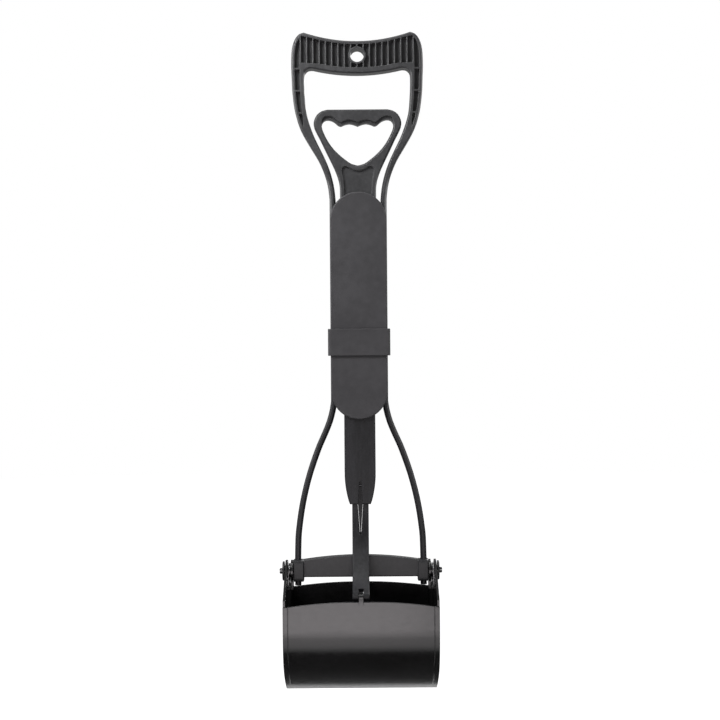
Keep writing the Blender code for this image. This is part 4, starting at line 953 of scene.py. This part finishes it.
def make_lamp(lamp, strength):
    """Hangs a lamp, which the camera doesn't see."""
    light = bpy.data.lights.new(lamp.name, "AREA")
    light.shape = "RECTANGLE"
    light.size, light.size_y = lamp.size
    light.energy = lamp.power(strength)
    light.color = lamp.colour
    obj = link_in(bpy.data.objects.new(lamp.name, light))
    obj.location = lamp.place
    obj.rotation_euler = (Vector(lamp.aim) - Vector(lamp.place)).to_track_quat("-Z", "Y").to_euler()
    obj.visible_camera = False


def seen_directly(nodes):
    """1 where the camera or a refraction looks at the surroundings, less where a reflection does."""
    path = nodes.node("ShaderNodeLightPath")
    seen = path.output("Is Camera Ray").most(path.output("Is Glossy Ray") * REFLECTED_SHARE)
    return seen.most(path.output("Is Transmission Ray"))


def floor_material():
    """Matt paper with shadows on it, which grows to white away from the scooper where it is seen."""
    material, nodes = new_material("studio_floor")
    at = nodes.object_place()
    paper = nodes.mottled_grey(at, FLOOR_MOTTLE, FLOOR_TONES)
    away = nodes.vector_maths("LENGTH", nodes.vector_maths("MULTIPLY", at, (1, 1, 0)), output="Value")
    strength = FLOOR_GLOW + away.rising(*FLOOR_FADE) * (1 - FLOOR_GLOW)
    glow = nodes.node("ShaderNodeEmission", {}, {"Strength": strength})
    matt = nodes.node("ShaderNodeBsdfDiffuse", {}, {"Color": paper})
    lit = nodes.in_order("ShaderNodeAddShader", {}, matt, glow)
    shader = nodes.in_order("ShaderNodeMixShader", {}, seen_directly(nodes), matt, lit)
    nodes.node("ShaderNodeOutputMaterial", {}, {"Surface": shader})
    return material


def stage_piece(name, build, material):
    """Turns a mesh that was built into a part of the studio."""
    mesh = bpy.data.meshes.new(name)
    build.to_mesh(mesh)
    build.free()
    mesh.materials.append(material)
    obj = link_in(bpy.data.objects.new(name, mesh))
    return obj


def make_floor(drop):
    """A wide round floor, slightly raised at its far rim."""
    build = bmesh.new()
    centre = build.verts.new((0, 0, -drop))
    turns = [math.tau * step / FLOOR_SIDES for step in range(FLOOR_SIDES)]
    rows = [
        [build.verts.new((radius * math.cos(turn), radius * math.sin(turn), rise - drop)) for turn in turns]
        for radius, rise in FLOOR_RINGS
    ]
    for step in range(FLOOR_SIDES):
        after = (step + 1) % FLOOR_SIDES
        build.faces.new((centre, rows[0][step], rows[0][after]))
        for inner, outer in zip(rows, rows[1:]):
            build.faces.new((inner[step], outer[step], outer[after], inner[after]))
    stage_piece("studio_floor", build, floor_material())


def make_flag():
    """A dark card under the jaws, seen in reflections only, which darkens their lower half."""
    material, nodes = new_material("studio_flag")
    cloth = nodes.mottled_grey(nodes.object_place(), FLAG_MOTTLE, FLAG_TONES)
    matt = nodes.node("ShaderNodeBsdfDiffuse", {}, {"Color": cloth})
    nodes.node("ShaderNodeOutputMaterial", {}, {"Surface": matt})
    build = bmesh.new()
    bmesh.ops.create_grid(build, x_segments=FLAG_CELLS, y_segments=FLAG_CELLS, size=1)
    build.transform(Matrix.Translation(FLAG_PLACE) @ Matrix.Diagonal((*FLAG_HALF_SIZE, 1, 1)))
    flag = stage_piece("studio_flag", build, material)
    flag.visible_camera = False
    flag.visible_diffuse = False
    flag.visible_shadow = False
    flag.visible_transmission = False


def make_world(brightness):
    """White surroundings for the camera, and a dim even light for the scooper."""
    world = bpy.data.worlds.new("studio_world")
    world.use_nodes = True
    nodes = Nodes(world.node_tree)
    strength = seen_directly(nodes).most(brightness)
    light = nodes.node("ShaderNodeBackground", {}, {"Color": (1, 1, 1, 1), "Strength": strength})
    nodes.node("ShaderNodeOutputWorld", {}, {"Surface": light})
    bpy.context.scene.world = world


def make_camera(studio):
    """Stands the camera level in front of the scooper, as the photograph was taken."""
    camera = bpy.data.cameras.new("camera")
    camera.lens = studio.focal_length
    obj = link_in(bpy.data.objects.new("camera", camera))
    obj.location = (studio.side, -studio.distance, studio.height)
    obj.rotation_euler = (math.pi / 2, studio.roll, 0)
    return obj


class SCOOPER_OT_studio(bpy.types.Operator):
    """Set the scooper over a pale floor, with soft lamps and the camera"""

    bl_idname = "scooper.studio"
    bl_label = "Studio"
    bl_options = {"REGISTER", "UNDO"}

    def execute(self, context):
        studio = context.scene.scooper_studio
        make_floor(studio.floor_drop)
        make_flag()
        make_world(studio.sky)
        for lamp in LAMPS:
            make_lamp(lamp, getattr(studio, lamp.setting))
        context.scene.camera = make_camera(studio)
        context.scene.view_settings.view_transform = "Standard"
        return {"FINISHED"}


# The panel and the start

STEPS = (
    SCOOPER_OT_handle, SCOOPER_OT_trigger, SCOOPER_OT_case, SCOOPER_OT_band, SCOOPER_OT_linkage,
    SCOOPER_OT_hinge, SCOOPER_OT_jaws, SCOOPER_OT_screws, SCOOPER_OT_springs, SCOOPER_OT_studio,
)
GROUPS = {
    "scooper_finishes": ScooperFinishes, "scooper_screws": ScooperScrews, "scooper_springs": ScooperSprings,
    "scooper_band": ScooperBand, "scooper_studio": ScooperStudio,
}


class SCOOPER_PT_panel(bpy.types.Panel):
    """The scooper's sizes, colours and steps"""

    bl_idname = "SCOOPER_PT_panel"
    bl_label = "Pooper Scooper"
    bl_space_type = "VIEW_3D"
    bl_region_type = "UI"
    bl_category = "Scooper"

    def draw(self, context):
        for name, group in GROUPS.items():
            box = self.layout.box()
            box.label(text=group.__doc__)
            for prop in group.__annotations__:
                box.prop(getattr(context.scene, name), prop)
        for step in STEPS:
            self.layout.operator(step.bl_idname)


def register():
    for cls in (*GROUPS.values(), *STEPS, SCOOPER_PT_panel):
        bpy.utils.register_class(cls)
    for name, group in GROUPS.items():
        setattr(bpy.types.Scene, name, PointerProperty(type=group))


def unregister():
    for name in GROUPS:
        delattr(bpy.types.Scene, name)
    for cls in (SCOOPER_PT_panel, *STEPS, *GROUPS.values()):
        bpy.utils.unregister_class(cls)


def main():
    register()
    for step in STEPS:
        operator = getattr(bpy.ops.scooper, step.bl_idname.partition(".")[2])
        operator()


if __name__ == "__main__":
    main()
